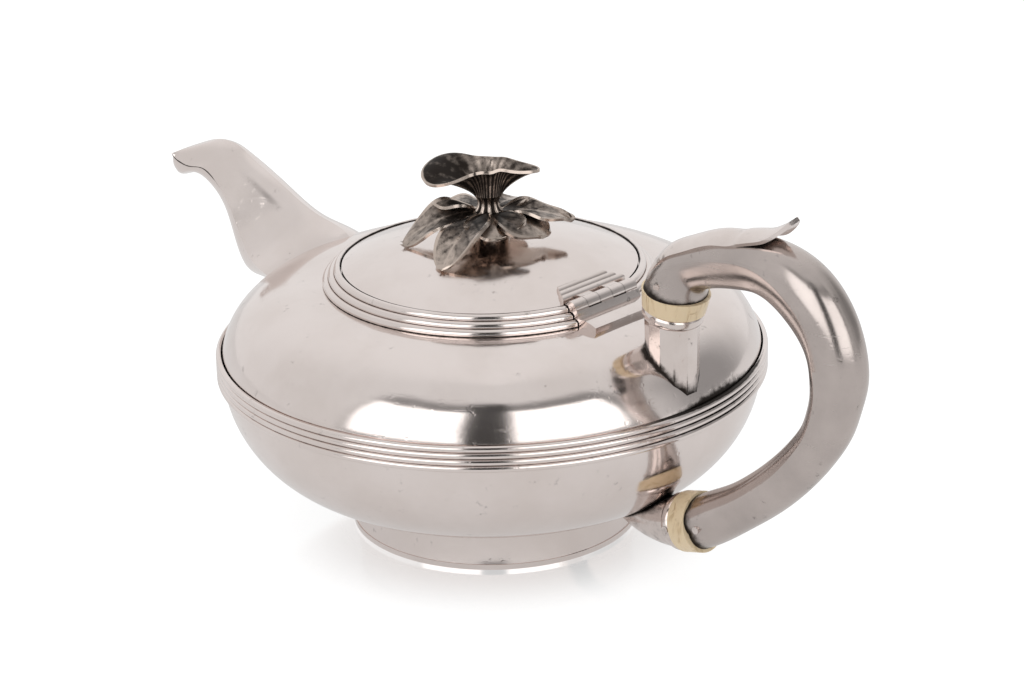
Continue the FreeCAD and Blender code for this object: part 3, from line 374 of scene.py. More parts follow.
def arc_through(a, b, c, steps):
    """Arcs through three points each, for arrays of points of shape (n, 2), as an array (n, steps, 2).

    The centre is the circumcentre; the sweep from a to c is taken on the side of b.
    """
    ax, ay, bx, by, cx, cy = a[:, 0], a[:, 1], b[:, 0], b[:, 1], c[:, 0], c[:, 1]
    d = 2 * (ax * (by - cy) + bx * (cy - ay) + cx * (ay - by))
    a2, b2, c2 = ax ** 2 + ay ** 2, bx ** 2 + by ** 2, cx ** 2 + cy ** 2
    x = (a2 * (by - cy) + b2 * (cy - ay) + c2 * (ay - by)) / d
    y = (a2 * (cx - bx) + b2 * (ax - cx) + c2 * (bx - ax)) / d
    radius = np.hypot(ax - x, ay - y)
    start = np.arctan2(ay - y, ax - x)
    to_b = (np.arctan2(by - y, bx - x) - start) % (2 * np.pi)
    to_c = (np.arctan2(cy - y, cx - x) - start) % (2 * np.pi)
    sweep = np.where(to_b <= to_c, to_c, to_c - 2 * np.pi)
    angle = start[:, None] + sweep[:, None] * np.linspace(0, 1, steps)
    return np.stack([x[:, None] + radius[:, None] * np.cos(angle),
                     y[:, None] + radius[:, None] * np.sin(angle)], axis=-1)


def lathe(line, turns):
    """Surface of revolution: the point (r, z) of the line at the turn a is (r cos a, r sin a, z)."""
    r = line[:, 0][:, None]
    z = line[:, 1][:, None]
    return np.stack([r * np.cos(turns), r * np.sin(turns), z + 0 * turns], axis=-1)


def full_turn(steps):
    """Angles of a whole turn in even steps, as one row."""
    return np.linspace(0, 2 * np.pi, steps, endpoint=False)[None, :]


def grid_quads(rows, columns, wrap_rows=False, wrap_columns=False):
    """Quads of a grid of points, joined round in either direction where it wraps."""
    r = np.arange(rows if wrap_rows else rows - 1)[:, None]
    c = np.arange(columns if wrap_columns else columns - 1)[None, :]
    low = r * columns
    high = ((r + 1) % rows) * columns
    right = (c + 1) % columns
    return np.stack([low + c, low + right, high + right, high + c], axis=-1).reshape(-1, 4).tolist()


def thick_sheet(grid, thickness, wrap):
    """A sheet with a wall: the grid, and the grid moved along its normals.

    A normal is the cross product of the grid's two slopes.
    """
    along = np.gradient(grid, axis=0)
    across = np.gradient(grid, axis=1)
    if wrap:
        across = (np.roll(grid, -1, axis=1) - np.roll(grid, 1, axis=1)) / 2
    normal = np.cross(along, across)
    normal /= np.maximum(np.linalg.norm(normal, axis=-1, keepdims=True), 1e-12)
    rows, columns = grid.shape[:2]
    points = np.concatenate([grid.reshape(-1, 3), (grid - thickness * normal).reshape(-1, 3)])
    back = rows * columns
    faces = grid_quads(rows, columns, False, wrap)
    faces += [[back + k for k in reversed(face)] for face in faces]
    edge = np.arange(columns)
    edge = np.append(edge, 0) if wrap else edge
    rims = [edge, edge + (rows - 1) * columns]
    if not wrap:
        side = np.arange(rows) * columns
        rims += [side, side + columns - 1]
    for rim in rims:
        faces += np.stack([rim[:-1], rim[1:], rim[1:] + back, rim[:-1] + back], axis=-1).tolist()
    return points, faces


# Pieces

def make_piece(name, points, faces, look, body, nodes, hollow=None, sharp=38.0):
    """Puts points and faces into a closed smooth mesh that rides on a body and stands for its nodes."""
    mesh = bpy.data.meshes.new(name)
    points = np.asarray(points, float).reshape(-1, 3)
    mesh.from_pydata(points.tolist(), [], faces)
    if hollow is not None:
        layer = mesh.attributes.new("hollow", "FLOAT", "POINT")
        layer.data.foreach_set("value", np.asarray(hollow, np.float32).ravel())
    work = bmesh.new()
    work.from_mesh(mesh)
    bmesh.ops.remove_doubles(work, verts=work.verts, dist=2e-7)
    bmesh.ops.recalc_face_normals(work, faces=work.faces)
    work.to_mesh(mesh)
    work.free()
    mesh.polygons.foreach_set("use_smooth", np.ones(len(mesh.polygons), bool))
    mesh.set_sharp_from_angle(angle=math.radians(sharp))
    mesh.materials.append(finishes()[look])
    piece = bpy.data.objects.new(name, mesh)
    bpy.context.scene.collection.objects.link(piece)
    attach(piece, body)
    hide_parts(*nodes)


def turned_piece(name, line, look, nodes, hollow, closed=True, sharp=38.0):
    """Silver piece of revolution on the pot; a line that isn't closed starts and ends on the axis."""
    steps = bpy.context.scene.teapot_sizes.turns
    points = lathe(line, full_turn(steps))
    faces = grid_quads(len(line), steps, closed, True)
    shade = np.broadcast_to(hollow.reshape(len(line), -1), (len(line), steps))
    make_piece(name, points, faces, look, "pot", nodes, shade, sharp)


def polished_copy(node, look, body, sharp=30.0, shade=None):
    """Merged copy of a node's own mesh with smooth faces; shade gives the oxide and painted shade at its
    points.
    """
    points = node_points(node)
    faces = [list(polygon.vertices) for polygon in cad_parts[node].data.polygons]
    hollow = None if shade is None else shade(points)
    make_piece(node + "_polished", points, faces, look, body, [node], hollow, sharp)


# Profiles of the body

def bowl_line():
    """Outside of the bowl: spline through four stops, upright at the seam, level at the foot."""
    stops = [
        (BODY_RADIUS, SEAM_Z),
        (BODY_RADIUS - BOWL_SIDE[0], FOOT_TOP_Z + BOWL_SIDE[1]),
        (BODY_RADIUS - BOWL_KNEE[0], FOOT_TOP_Z + BOWL_KNEE[1]),
        (FOOT_SEAT_RADIUS, FOOT_TOP_Z),
    ]
    return line_through(stops, (0, -1), (-1, 0))


def shoulder_line():
    """Outside of the shoulder: spline through four stops, upright at the seam, level at the rim."""
    stops = [
        (BODY_RADIUS, SEAM_Z),
        (BODY_RADIUS - SHOULDER_SIDE[0], SEAM_Z + SHOULDER_SIDE[1]),
        (BODY_RADIUS - SHOULDER_TOP[0], SEAM_Z + SHOULDER_TOP[1]),
        (RIM_OUTER_RADIUS, RIM_SEAT_Z),
    ]
    return line_through(stops, (0, 1), (-1, 0))


def body_height(radius):
    """Height of the shoulder's outside at a radius."""
    line = shoulder_line()[::-1]
    return np.interp(radius, line[:, 0], line[:, 1])


def reed_line(start, end, reeds, bulge=0.5):
    """Row of rounded reeds from start to end, and how deep in a valley each point lies.

    At the angle a from 0 to pi along one reed, a point lies (1 - cos a) / 2 along the reed's chord, plus
    sin a times the bulge times the pitch to the left of it.
    """
    start = np.asarray(start, float)
    end = np.asarray(end, float)
    chord = end - start
    pitch = np.linalg.norm(chord) / reeds
    left = np.array([-chord[1], chord[0]]) / np.linalg.norm(chord)
    angle = np.tile(np.linspace(0, np.pi, REED_STEPS), reeds)
    t = (1 - np.cos(angle)) / 2
    place = (np.repeat(np.arange(reeds), REED_STEPS) + t) / reeds
    line = start + place[:, None] * chord + (bulge * pitch * np.sin(angle))[:, None] * left
    return line, 1 - np.sin(angle)


# Shader nodes

def join(tree, node, links):
    """Links or sets inputs of a node, by socket name or index."""
    for key, value in links.items():
        if isinstance(value, bpy.types.NodeSocket):
            tree.links.new(value, node.inputs[key])
        else:
            node.inputs[key].default_value = value


def add_node(tree, kind, links=None, **values):
    """Node with properties set by name and inputs linked or set."""
    node = tree.nodes.new(kind)
    for key, value in values.items():
        setattr(node, key, value)
    join(tree, node, links or {})
    return node


def new_group(name, inputs, outputs):
    """Shader node group with named sockets; each is (name, socket type)."""
    group = bpy.data.node_groups.new(name, "ShaderNodeTree")
    for label, kind in inputs:
        group.interface.new_socket(label, in_out="INPUT", socket_type=kind)
    for label, kind in outputs:
        group.interface.new_socket(label, in_out="OUTPUT", socket_type=kind)
    return group, group.nodes.new("NodeGroupInput"), group.nodes.new("NodeGroupOutput")


def new_material(name):
    """Material with nodes, and its node tree."""
    material = bpy.data.materials.new(name)
    material.use_nodes = True
    return material, material.node_tree


def math_node(tree, operation, first, second=0.0):
    """Result of an operation on one or two values; each is a socket or a number."""
    return add_node(tree, "ShaderNodeMath", {0: first, 1: second}, operation=operation).outputs[0]


def noise(tree, vector, scale, detail=3.0, rough=0.55):
    """Noise from 0 to 1; the scale is about the number of patches per metre."""
    links = {"Vector": vector, "Scale": scale, "Detail": detail, "Roughness": rough}
    return add_node(tree, "ShaderNodeTexNoise", links).outputs[0]


def span(tree, value, low, high, start=0.0, end=1.0):
    """Smooth step of a value from low to high."""
    links = {0: value, 1: low, 2: high, 3: start, 4: end}
    return add_node(tree, "ShaderNodeMapRange", links, interpolation_type="SMOOTHSTEP").outputs[0]


def mix_colours(tree, share, first, second):
    """Colour between two colours; each is a socket or four levels."""
    links = {0: share, 6: first, 7: second}
    return add_node(tree, "ShaderNodeMix", links, data_type="RGBA").outputs[2]


def hand_wear_group():
    """Height of planishing waves, pits and fine scratches, and how matt the surface is there."""
    group, inside, outside = new_group(
        "hand wear", [("Vector", "NodeSocketVector")],
        [("Waves", "NodeSocketFloat"), ("Pits", "NodeSocketFloat"), ("Matt", "NodeSocketFloat")])
    vector = inside.outputs["Vector"]
    waves = noise(group, vector, 42.0, 2.0)
    grain = noise(group, vector, 900.0, 4.0, 0.6)
    pits = span(group, noise(group, vector, 420.0, 3.0), 0.60, 0.72)
    stretched = add_node(group, "ShaderNodeMapping", {"Vector": vector, "Scale": (25.0, 260.0, 900.0),
                                                      "Rotation": (0.3, 0.5, 0.9)})
    scratches = span(group, noise(group, stretched.outputs[0], 1.0, 2.0), 0.60, 0.75)
    light = math_node(group, "MULTIPLY", scratches, 0.5)
    fine = math_node(group, "SUBTRACT", math_node(group, "MULTIPLY", grain, 0.35), pits)
    fine = math_node(group, "SUBTRACT", fine, light)
    matt = math_node(group, "ADD", light, noise(group, vector, 60.0, 4.0))
    join(group, outside, {"Waves": waves, "Pits": fine, "Matt": matt})


def oxide_and_shade_group():
    """Mask of black oxide and painted shade: full in the hollows and where a piece paints shade, broken up
    by grime, with a few stains elsewhere.
    """
    group, inside, outside = new_group(
        "oxide in hollows",
        [("Vector", "NodeSocketVector"), ("Hollow", "NodeSocketFloat"), ("Stain", "NodeSocketFloat")],
        [("Mask", "NodeSocketFloat"), ("Film", "NodeSocketFloat")])
    vector = inside.outputs["Vector"]
    grime = noise(group, vector, 350.0, 5.0, 0.65)
    deep = math_node(group, "ADD", inside.outputs["Hollow"], math_node(group, "MULTIPLY", grime, 0.5))
    lines = span(group, deep, 0.80, 1.15)
    clouds = math_node(group, "MULTIPLY", noise(group, vector, 130.0, 6.0, 0.7), grime)
    stains = math_node(group, "MULTIPLY", span(group, clouds, 0.34, 0.44), inside.outputs["Stain"])
    film = span(group, noise(group, vector, 28.0, 5.0, 0.6), 0.35, 0.70)
    join(group, outside, {"Mask": math_node(group, "MAXIMUM", lines, stains), "Film": film})


def silver_finish(name, base, shade, dullness, stain, wave_depth, pit_depth, film):
    """Silver with wear, film, oxide and painted shade; the hollows, which carry the painted shade too, come
    from the pieces' own attribute.

    The roughness is the gloss times (matt + 0.45), plus 0.3 of the mask of oxide and painted shade.
    """
    finish = bpy.context.scene.teapot_finish
    gloss = finish.gloss * dullness
    tree = new_material(name)[1]
    vector = add_node(tree, "ShaderNodeTexCoord").outputs["Object"]
    hollow = add_node(tree, "ShaderNodeAttribute", attribute_name="hollow").outputs["Fac"]
    wear = add_node(tree, "ShaderNodeGroup", node_tree=bpy.data.node_groups["hand wear"])
    join(tree, wear, {"Vector": vector})
    oxide = add_node(tree, "ShaderNodeGroup", node_tree=bpy.data.node_groups["oxide in hollows"])
    join(tree, oxide, {"Vector": vector, "Hollow": hollow, "Stain": stain})
    mask = oxide.outputs["Mask"]
    thin = math_node(tree, "MULTIPLY", oxide.outputs["Film"], film)
    toned = mix_colours(tree, thin, (*base, 1.0), (*shade, 1.0))
    blackened = mix_colours(tree, mask, toned, (*finish.oxide, 1.0))
    rough = math_node(tree, "MULTIPLY", wear.outputs["Matt"], gloss)
    rough = math_node(tree, "ADD", rough, 0.45 * gloss)
    rough = math_node(tree, "ADD", rough, math_node(tree, "MULTIPLY", mask, 0.3))
    waves = add_node(tree, "ShaderNodeBump", {"Distance": wave_depth * MM, "Height": wear.outputs["Waves"]})
    pits = add_node(tree, "ShaderNodeBump", {"Distance": pit_depth * MM, "Height": wear.outputs["Pits"],
                                             "Normal": waves.outputs[0]})
    join(tree, tree.nodes["Principled BSDF"], {
        "Metallic": 1.0, "Base Color": blackened, "Roughness": rough, "Normal": pits.outputs[0]})


def ivory_finish():
    """Ivory with stained grain, which runs along the ring's axis, and fine cracks."""
    finish = bpy.context.scene.teapot_finish
    tree = new_material("aged ivory")[1]
    vector = add_node(tree, "ShaderNodeTexCoord").outputs["Object"]
    grain = add_node(tree, "ShaderNodeMapping", {"Vector": vector, "Scale": (520.0, 520.0, 90.0)})
    streaks = noise(tree, grain.outputs[0], 1.0, 4.0)
    cells = add_node(tree, "ShaderNodeTexVoronoi", {"Vector": grain.outputs[0], "Scale": 0.5},
                     feature="DISTANCE_TO_EDGE")
    cracks = math_node(tree, "MULTIPLY", span(tree, cells.outputs[0], 0.0, 0.035, 1.0, 0.0),
                       span(tree, noise(tree, vector, 160.0), 0.5, 0.6))
    dirt = math_node(tree, "MAXIMUM", span(tree, streaks, 0.50, 0.78), cracks)
    bump = add_node(tree, "ShaderNodeBump", {"Distance": 0.1 * MM, "Height": dirt, "Strength": 0.6},
                    invert=True)
    join(tree, tree.nodes["Principled BSDF"], {
        "Subsurface Weight": 0.04, "Subsurface Radius": (1.2 * MM, 0.9 * MM, 0.5 * MM),
        "Base Color": mix_colours(tree, dirt, (*finish.ivory, 1.0), (*finish.ivory_stain, 1.0)),
        "Roughness": span(tree, streaks, 0.2, 0.9, 0.28, 0.5), "Normal": bump.outputs[0]})


def finishes():
    """The materials by name, made once.

    A silver has its colour and its colour under the film, then dullness, stain, depth of waves and of pits
    in millimetres, and film.
    """
    if "polished silver" not in bpy.data.materials:
        finish = bpy.context.scene.teapot_finish
        hand_wear_group()
        oxide_and_shade_group()
        plain = (finish.silver, finish.silver_shade)
        worn = (finish.worn, tuple(0.8 * level for level in finish.worn))
        cast = (finish.cast, tuple(0.45 * level for level in finish.cast))
        silver_finish("polished silver", *plain, 1.0, 0.25, 0.22, 0.012, 0.5)
        silver_finish("reeded silver", *plain, 1.0, 0.3, 0.10, 0.012, 0.5)
        silver_finish("fitted silver", *plain, 1.3, 0.6, 0.12, 0.018, 0.9)
        silver_finish("handled silver", *worn, 1.6, 0.45, 0.12, 0.018, 0.9)
        silver_finish("cast silver", *cast, 1.6, 0.6, 0.10, 0.030, 1.0)
        ivory_finish()
    return bpy.data.materials


class TEAPOT_OT_body(bpy.types.Operator):
    """Bowl, shoulder, girdle and foot, turned on the body's axis"""
    bl_idname = "teapot.body"
    bl_label = "Body"

    def execute(self, context):
        away = full_turn(context.scene.teapot_sizes.turns)
        away = (away + np.pi) % (2 * np.pi) - np.pi
        # painted dark reflection of the handle on the shoulder and the girdle, strongest at the handle's
        # bearing
        grime = np.exp(-((away - HANDLE_REFLECTION_BEARING) / HANDLE_REFLECTION_SPREAD) ** 2)
        self.bowl(away)
        self.shoulder(away, grime)
        self.girdle(grime)
        self.foot()
        return {"FINISHED"}

    def bowl(self, away):
        """Wall and floor; the painted shade round the lower socket falls off as exp(-a^4 - b^4)."""
        outer = bowl_line()
        inner = shifted(outer, -WALL)
        axis_low = np.array([[0.0, FOOT_TOP_Z]])
        axis_high = np.array([[0.0, inner[-1, 1]]])
        line = np.concatenate([axis_low, outer[::-1], inner, axis_high])
        middle, half = middle_and_half("lower_socket")
        aside = away * middle.x / (HALO_WIDTH * half.y)
        above = (line[:, 1] - middle.z)[:, None] / (HALO_HEIGHT * half.z)
        # painted shade round the lower socket
        halo = BOWL_PAINTED_SHADE * np.exp(-aside ** 4 - above ** 4)
        turned_piece("bowl_wall", line, "polished silver", ["bowl"], halo, closed=False)

    def shoulder(self, away, grime):
        """Wall and turned-in lip; a painted dark reflection of the handle lies along the girdle under the
        handle and round the upper socket.
        """
        outer = shoulder_line()
        inner = shifted(outer, WALL)
        lip = np.array([[OPENING_RADIUS, RIM_SEAT_Z], [OPENING_RADIUS, inner[-1, 1]]])
        line = np.concatenate([outer, lip, inner[::-1]])
        # painted dark reflection of the handle near the seam, and round the upper socket
        near = np.exp(-(line[:, 1] - SEAM_Z) / DARKENING_RISE)[:, None]
        middle, half = middle_and_half("upper_socket")
        x = line[:, :1] * np.cos(away)
        y = line[:, :1] * np.sin(away)
        apart = np.hypot(x - middle.x, y - middle.y)
        halo = SHOULDER_PAINTED_REFLECTION * np.exp(-(apart / (HALO_WIDTH * half.y)) ** 4)
        hollow = np.maximum(HANDLE_REFLECTION_DEPTH * near * grime, halo)
        turned_piece("shoulder_wall", line, "polished silver", ["shoulder"], hollow)

    def girdle(self, grime):
        """Row of half-round reeds over the seam.

        Oxide lies in the valleys, half as deep at the top edge. The painted dark reflection of the handle
        from the shoulder adds 0.3 of the edge and 0.8 of the root of the valley.
        """
        half = GIRDLE_REEDS * GIRDLE_PITCH / 2
        back = BODY_RADIUS + GIRDLE_BACK
        reeds, valley = reed_line((back, SEAM_Z + half), (back, SEAM_Z - half), GIRDLE_REEDS)
        rear = np.array([[BODY_RADIUS, SEAM_Z - half], [BODY_RADIUS, SEAM_Z + half]])
        line = np.concatenate([reeds, rear])
        hollow = np.concatenate([valley, [GIRDLE_REAR_SHADE, GIRDLE_REAR_SHADE]])[:, None]
        edge = np.exp(-((line[:, 1] - SEAM_Z - half) / EDGE_SHADE_RISE) ** 2)[:, None]
        # painted dark reflection of the handle on the top edge and in the valleys
        painted_handle_reflection = (0.3 * edge + 0.8 * np.sqrt(hollow)) * grime
        turned_piece("girdle_reeds", line, "reeded silver", ["girdle_band"],
                     hollow * (1 - 0.5 * edge) + painted_handle_reflection, sharp=70.0)

    def foot(self):
        """Collet with a slight waist over a plain strip."""
        strip = FOOT_BASE_RADIUS - FOOT_WAIST / 2
        middle = (FOOT_TOP_Z + FOOT_STRIP) / 2
        waist = (FOOT_SEAT_RADIUS + strip) / 2 - FOOT_WAIST / 2
        stops = [(FOOT_SEAT_RADIUS, FOOT_TOP_Z), (waist, middle), (strip, FOOT_STRIP)]
        outer = arc_through(*[np.array([stop]) for stop in stops], FOOT_STEPS)[0]
        bore = FOOT_BASE_RADIUS - FOOT_WALL
        step = np.array([[FOOT_BASE_RADIUS, FOOT_STRIP], [FOOT_BASE_RADIUS, 0.0],
                         [bore, 0.0], [bore, FOOT_STRIP]])
        inner = outer[::-1] - np.array([FOOT_WALL, 0.0])
        line = np.concatenate([outer, step, inner])
        hollow = np.clip(1 - np.abs(line[:, 1] - FOOT_TOP_Z) / EDGE_SHADE_RISE, 0, 1)
        turned_piece("foot_collet", line, "polished silver", ["foot_ring"], hollow)


class TEAPOT_OT_rim(bpy.types.Operator):
    """Reeded rim round the filler opening, cut through for the hinge, and the ledge under the lid"""
    bl_idname = "teapot.rim"
    bl_label = "Rim"

    def execute(self, context):
        steps = context.scene.teapot_sizes.turns
        reeds, valley = reed_line((RIM_INNER_RADIUS, LID_EDGE_Z), (RIM_OUTER_RADIUS, RIM_SEAT_Z),
                                  RIM_REEDS, RIM_REED_BULGE)
        line = np.concatenate([reeds, [[RIM_INNER_RADIUS, RIM_SEAT_Z]]])
        hollow = np.concatenate([valley, [1.0]])
        edge = np.arcsin((HINGE_HALF + HINGE_GAP) / line[:, 0])[:, None]
        turns = edge + (2 * np.pi - 2 * edge) * np.linspace(0, 1, steps)[None, :]
        rows = len(line)
        faces = grid_quads(rows, steps, True, False)
        start = np.arange(rows) * steps
        faces += [start.tolist(), (start + steps - 1)[::-1].tolist()]
        make_piece("rim_reeds", lathe(line, turns), faces, "reeded silver", "pot", ["rim_mount"],
                   np.repeat(hollow[:, None], steps, axis=1), 70.0)
        polished_copy("lid_bearer", "polished silver", "pot")
        return {"FINISHED"}


class TEAPOT_OT_lid(bpy.types.Operator):
    """Domed lid with its straight edge, and the bar and knuckles that it turns on"""
    bl_idname = "teapot.lid"
    bl_label = "Lid"

    def execute(self, context):
        steps = context.scene.teapot_sizes.turns
        turns = full_turn(steps)

        def dome(share, inset, top):
            """Cap of a sphere out to the lid's edge, which the chord beside the hinge cuts straight."""
            edge = np.minimum(LID_RADIUS, LID_CHORD_X / np.maximum(np.cos(turns), 1e-3))
            reach = np.where(np.cos(turns) > 0, edge, LID_RADIUS) - inset
            r = share[:, None] * reach
            z = top - LID_SPHERE + np.sqrt(LID_SPHERE ** 2 - r ** 2)
            return np.stack([r * np.cos(turns), r * np.sin(turns), z], axis=-1)

        share = np.sin(np.linspace(0, np.pi / 2, DOME_ROWS))
        outer = dome(share, 0.0, LID_TOP_Z)
        inner = dome(share[::-1], LID_LAND, LID_TOP_Z - LID_WALL)
        low_edge = outer[-1:].copy()
        low_edge[..., 2] = LEDGE_Z
        land = inner[:1].copy()
        land[..., 2] = LEDGE_Z
        points = np.concatenate([outer, low_edge, land, inner])
        rows = len(points)
        hollow = np.zeros((rows, steps))
        # painted shade in the gap round the lid's edge
        hollow[DOME_ROWS - 1:DOME_ROWS + 2] = LID_EDGE_SHADE
        make_piece("lid_cover", points, grid_quads(rows, steps, False, True), "polished silver", "lid",
                   ["lid_dome"], hollow)
        for node in ("lid_hinge_bar", "hinge_knuckles_lid"):
            polished_copy(node, "fitted silver", "lid")
        for node in ("finial_stud", "finial_washer", "finial_nut"):
            polished_copy(node, "cast silver", "lid")
        return {"FINISHED"}


class TEAPOT_OT_hinge(bpy.types.Operator):
    """Fixed side of the hinge, with its pin"""
    bl_idname = "teapot.hinge"
    bl_label = "Hinge"

    def execute(self, context):
        for node in ("hinge_plate", "hinge_knuckles_fixed", "hinge_pin"):
            polished_copy(node, "fitted silver", "pot")
        return {"FINISHED"}


class TEAPOT_OT_spout(bpy.types.Operator):
    """Spout with a half-round front, an arris each side and flat cheeks; its top bends forward"""
    bl_idname = "teapot.spout"
    bl_label = "Spout"

    def sections(self, inset):
        """Sections in their own plane: depth from the front along the section, and half width.

        Front and rear are arcs through three points; a cheek is straight less 4 t (1 - t) times its
        hollow, and is rounded into the rear. The sides are lifted by 4 d (1 - d), with d the share of the
        depth.
        """
        steps = SPOUT_STEPS
        stations = np.array(SPOUT_STATIONS) * MM
        front = pair(-BODY_RADIUS - stations[:, 0], SEAM_Z + stations[:, 1])
        rear = pair(-BODY_RADIUS - stations[:, 2], SEAM_Z + stations[:, 3])
        depth = np.linalg.norm(rear - front, axis=1)
        along = (rear - front) / depth[:, None]
        clear = depth - 2 * inset
        arris = inset + SPOUT_ARRIS_SHARE * clear
        heel = inset + SPOUT_REAR_SHARE * clear
        wide = stations[:, 4] - inset
        narrow = stations[:, 5] - inset
        zero = 0 * depth
        tip = pair(inset - stations[:, 6], zero)
        nose = arc_through(pair(arris, -wide), tip, pair(arris, wide), 2 * steps)
        t = np.linspace(0, 1, steps)[None, :]
        deep = arris[:, None] + (heel - arris)[:, None] * t
        half = wide[:, None] + (narrow - wide)[:, None] * t - 4 * SPOUT_HOLLOW * t * (1 - t)
        cheek = np.stack([deep, half], axis=-1)
        end = pair(depth - inset, zero)
        tail = arc_through(pair(heel, narrow), end, pair(heel, -narrow), 2 * steps + 1)
        side = np.concatenate([cheek[:, :-1], tail[:, :steps + 1]], axis=1)
        side = softened(side.transpose(1, 0, 2), SPOUT_ROUNDING).transpose(1, 0, 2)
        other = side[:, ::-1] * np.array([1, -1])
        loop = np.concatenate([nose[:, :-1], side[:, :-1], other[:, :-1]], axis=1)
        share = loop[..., 0] / depth[:, None]
        x = front[:, 0][:, None] + along[:, 0][:, None] * loop[..., 0]
        z = front[:, 1][:, None] + along[:, 1][:, None] * loop[..., 0]
        z = z + 4 * stations[:, 7][:, None] * share * (1 - share)
        return np.stack([x, loop[..., 1], z], axis=-1)

    def skin(self, inset):
        """Spline through the sections, each line along the spout starting where it leaves the body."""
        loops = self.sections(inset)
        knots = run_lengths(loops.mean(axis=1))
        fine = np.linspace(0, knots[-1], SPOUT_SEARCH_STEPS)
        lines = spline_through(knots, loops, fine)
        radius = np.hypot(lines[..., 0], lines[..., 1])
        roof = body_height(np.clip(radius, RIM_OUTER_RADIUS, BODY_RADIUS))
        inside = lines[..., 2] < roof - SPOUT_SINK
        inside &= radius < BODY_RADIUS - SPOUT_SINK
        last = len(fine) - 1 - np.argmax(inside[::-1], axis=0)
        start = fine[np.minimum(last, len(fine) - 2)]
        place = start + (knots[-1] - start) * np.linspace(0, 1, SPOUT_ROWS)[:, None]
        low = np.clip(np.searchsorted(fine, place) - 1, 0, len(fine) - 2)
        mix = ((place - fine[low]) / (fine[low + 1] - fine[low]))[..., None]
        column = np.arange(loops.shape[1])[None, :]
        return lines[low, column] * (1 - mix) + lines[low + 1, column] * mix

    def execute(self, context):
        rows = SPOUT_ROWS
        points = np.concatenate([self.skin(0.0), self.skin(SPOUT_WALL)[::-1]])
        columns = points.shape[1]
        faces = grid_quads(len(points), columns, True, True)
        away = np.linspace(0, 1, rows)
        hollow = np.zeros((2 * rows, columns))
        hollow[:rows] = np.clip(1 - away / SPOUT_SEAM_SHARE, 0, 1)[:, None]
        # painted dark reflection along both arrises, full from ARRIS_DARK_START of the way up
        dark = np.clip((away - ARRIS_DARK_START) / ARRIS_DARK_RUN, 0, 1)
        for arris in (0, 2 * SPOUT_STEPS - 1):
            hollow[:rows, arris] = ARRIS_SHADE + (1 - ARRIS_SHADE) * dark
        make_piece("spout_shell", points, faces, "polished silver", "pot", ["spout"],
                   hollow, 32.0)
        return {"FINISHED"}


# Handle

def handle_run():
    """Run of tangent arcs as (start, heading, turn, chord).

    An arc's chord points half its turn off its heading.
    """
    rise = COLLAR_HEIGHT / 2 + UPPER_RING_HEIGHT
    reach = COLLAR_HEIGHT / 2 + LOWER_RING_HEIGHT
    heading = math.pi / 2 - UPPER_LEAN
    place = (UPPER_COLLAR.x + rise * math.sin(UPPER_LEAN), UPPER_COLLAR.z + rise * math.cos(UPPER_LEAN))
    stops = [(BODY_RADIUS + x * MM, SEAM_Z + z * MM) for x, z in HANDLE_STOPS]
    stops.append((LOWER_COLLAR.x + reach * math.cos(LOWER_TILT),
                  LOWER_COLLAR.z + reach * math.sin(LOWER_TILT)))
    run = []
    for stop in stops:
        dx, dz = stop[0] - place[0], stop[1] - place[1]
        turn = 2 * (math.atan2(dz, dx) - heading)
        turn = (turn + 2 * math.pi) % (4 * math.pi) - 2 * math.pi
        run.append((place[0], place[1], heading, turn, math.hypot(dx, dz)))
        place = stop
        heading = heading + turn
    return np.array(run)


def handle_frames(places):
    """Centres and headings at places along the run: the whole part picks the arc, the rest is its share.

    A part arc's chord is chord sin(half turn x share) / sin(half turn). The last arc squares up to its
    ring.
    """
    run = handle_run()
    places = np.asarray(places, float)
    k = np.clip(places.astype(int), 0, len(run) - 1)
    x, z, heading, turn, chord = run[k].T
    share = places - k
    half = np.where(np.abs(turn) < 1e-6, 1e-6, turn / 2)
    reach = chord * np.sin(half * share) / np.sin(half)
    bearing = heading + half * share
    centre = pair(x + reach * np.cos(bearing), z + reach * np.sin(bearing))
    end = (run[-1][2] + run[-1][3]) % (2 * math.pi)
    square = np.where(k == len(run) - 1, (math.pi + LOWER_TILT - end) * share, 0.0)
    return centre, heading + turn * share + square


def set_off(centre, heading, depth):
    """Places x and z at depths to the left of the centres, for depths of shape (n, m)."""
    x = centre[:, 0][:, None] + np.cos(heading + np.pi / 2)[:, None] * depth
    z = centre[:, 1][:, None] + np.sin(heading + np.pi / 2)[:, None] * depth
    return x, z


def eased(stations, places):
    """Columns of a station table at places, eased by a half cosine from one station to the next."""
    table = np.array(stations, float)
    k = np.clip(np.searchsorted(table[:, 0], places, side="right") - 1, 0, len(table) - 2)
    share = np.clip((places - table[k, 0]) / (table[k + 1, 0] - table[k, 0]), 0, 1)
    ease = ((1 - np.cos(np.pi * share)) / 2)[:, None]
    return table[k, 1:] + (table[k + 1, 1:] - table[k, 1:]) * ease


def even_places(stations, count):
    """Places evenly spaced in length along the handle, from the first station to the last."""
    fine = np.linspace(stations[0][0], stations[-1][0], HANDLE_LENGTH_STEPS)
    length = run_lengths(handle_frames(fine)[0])
    return np.interp(np.linspace(0, length[-1], count), length, fine)


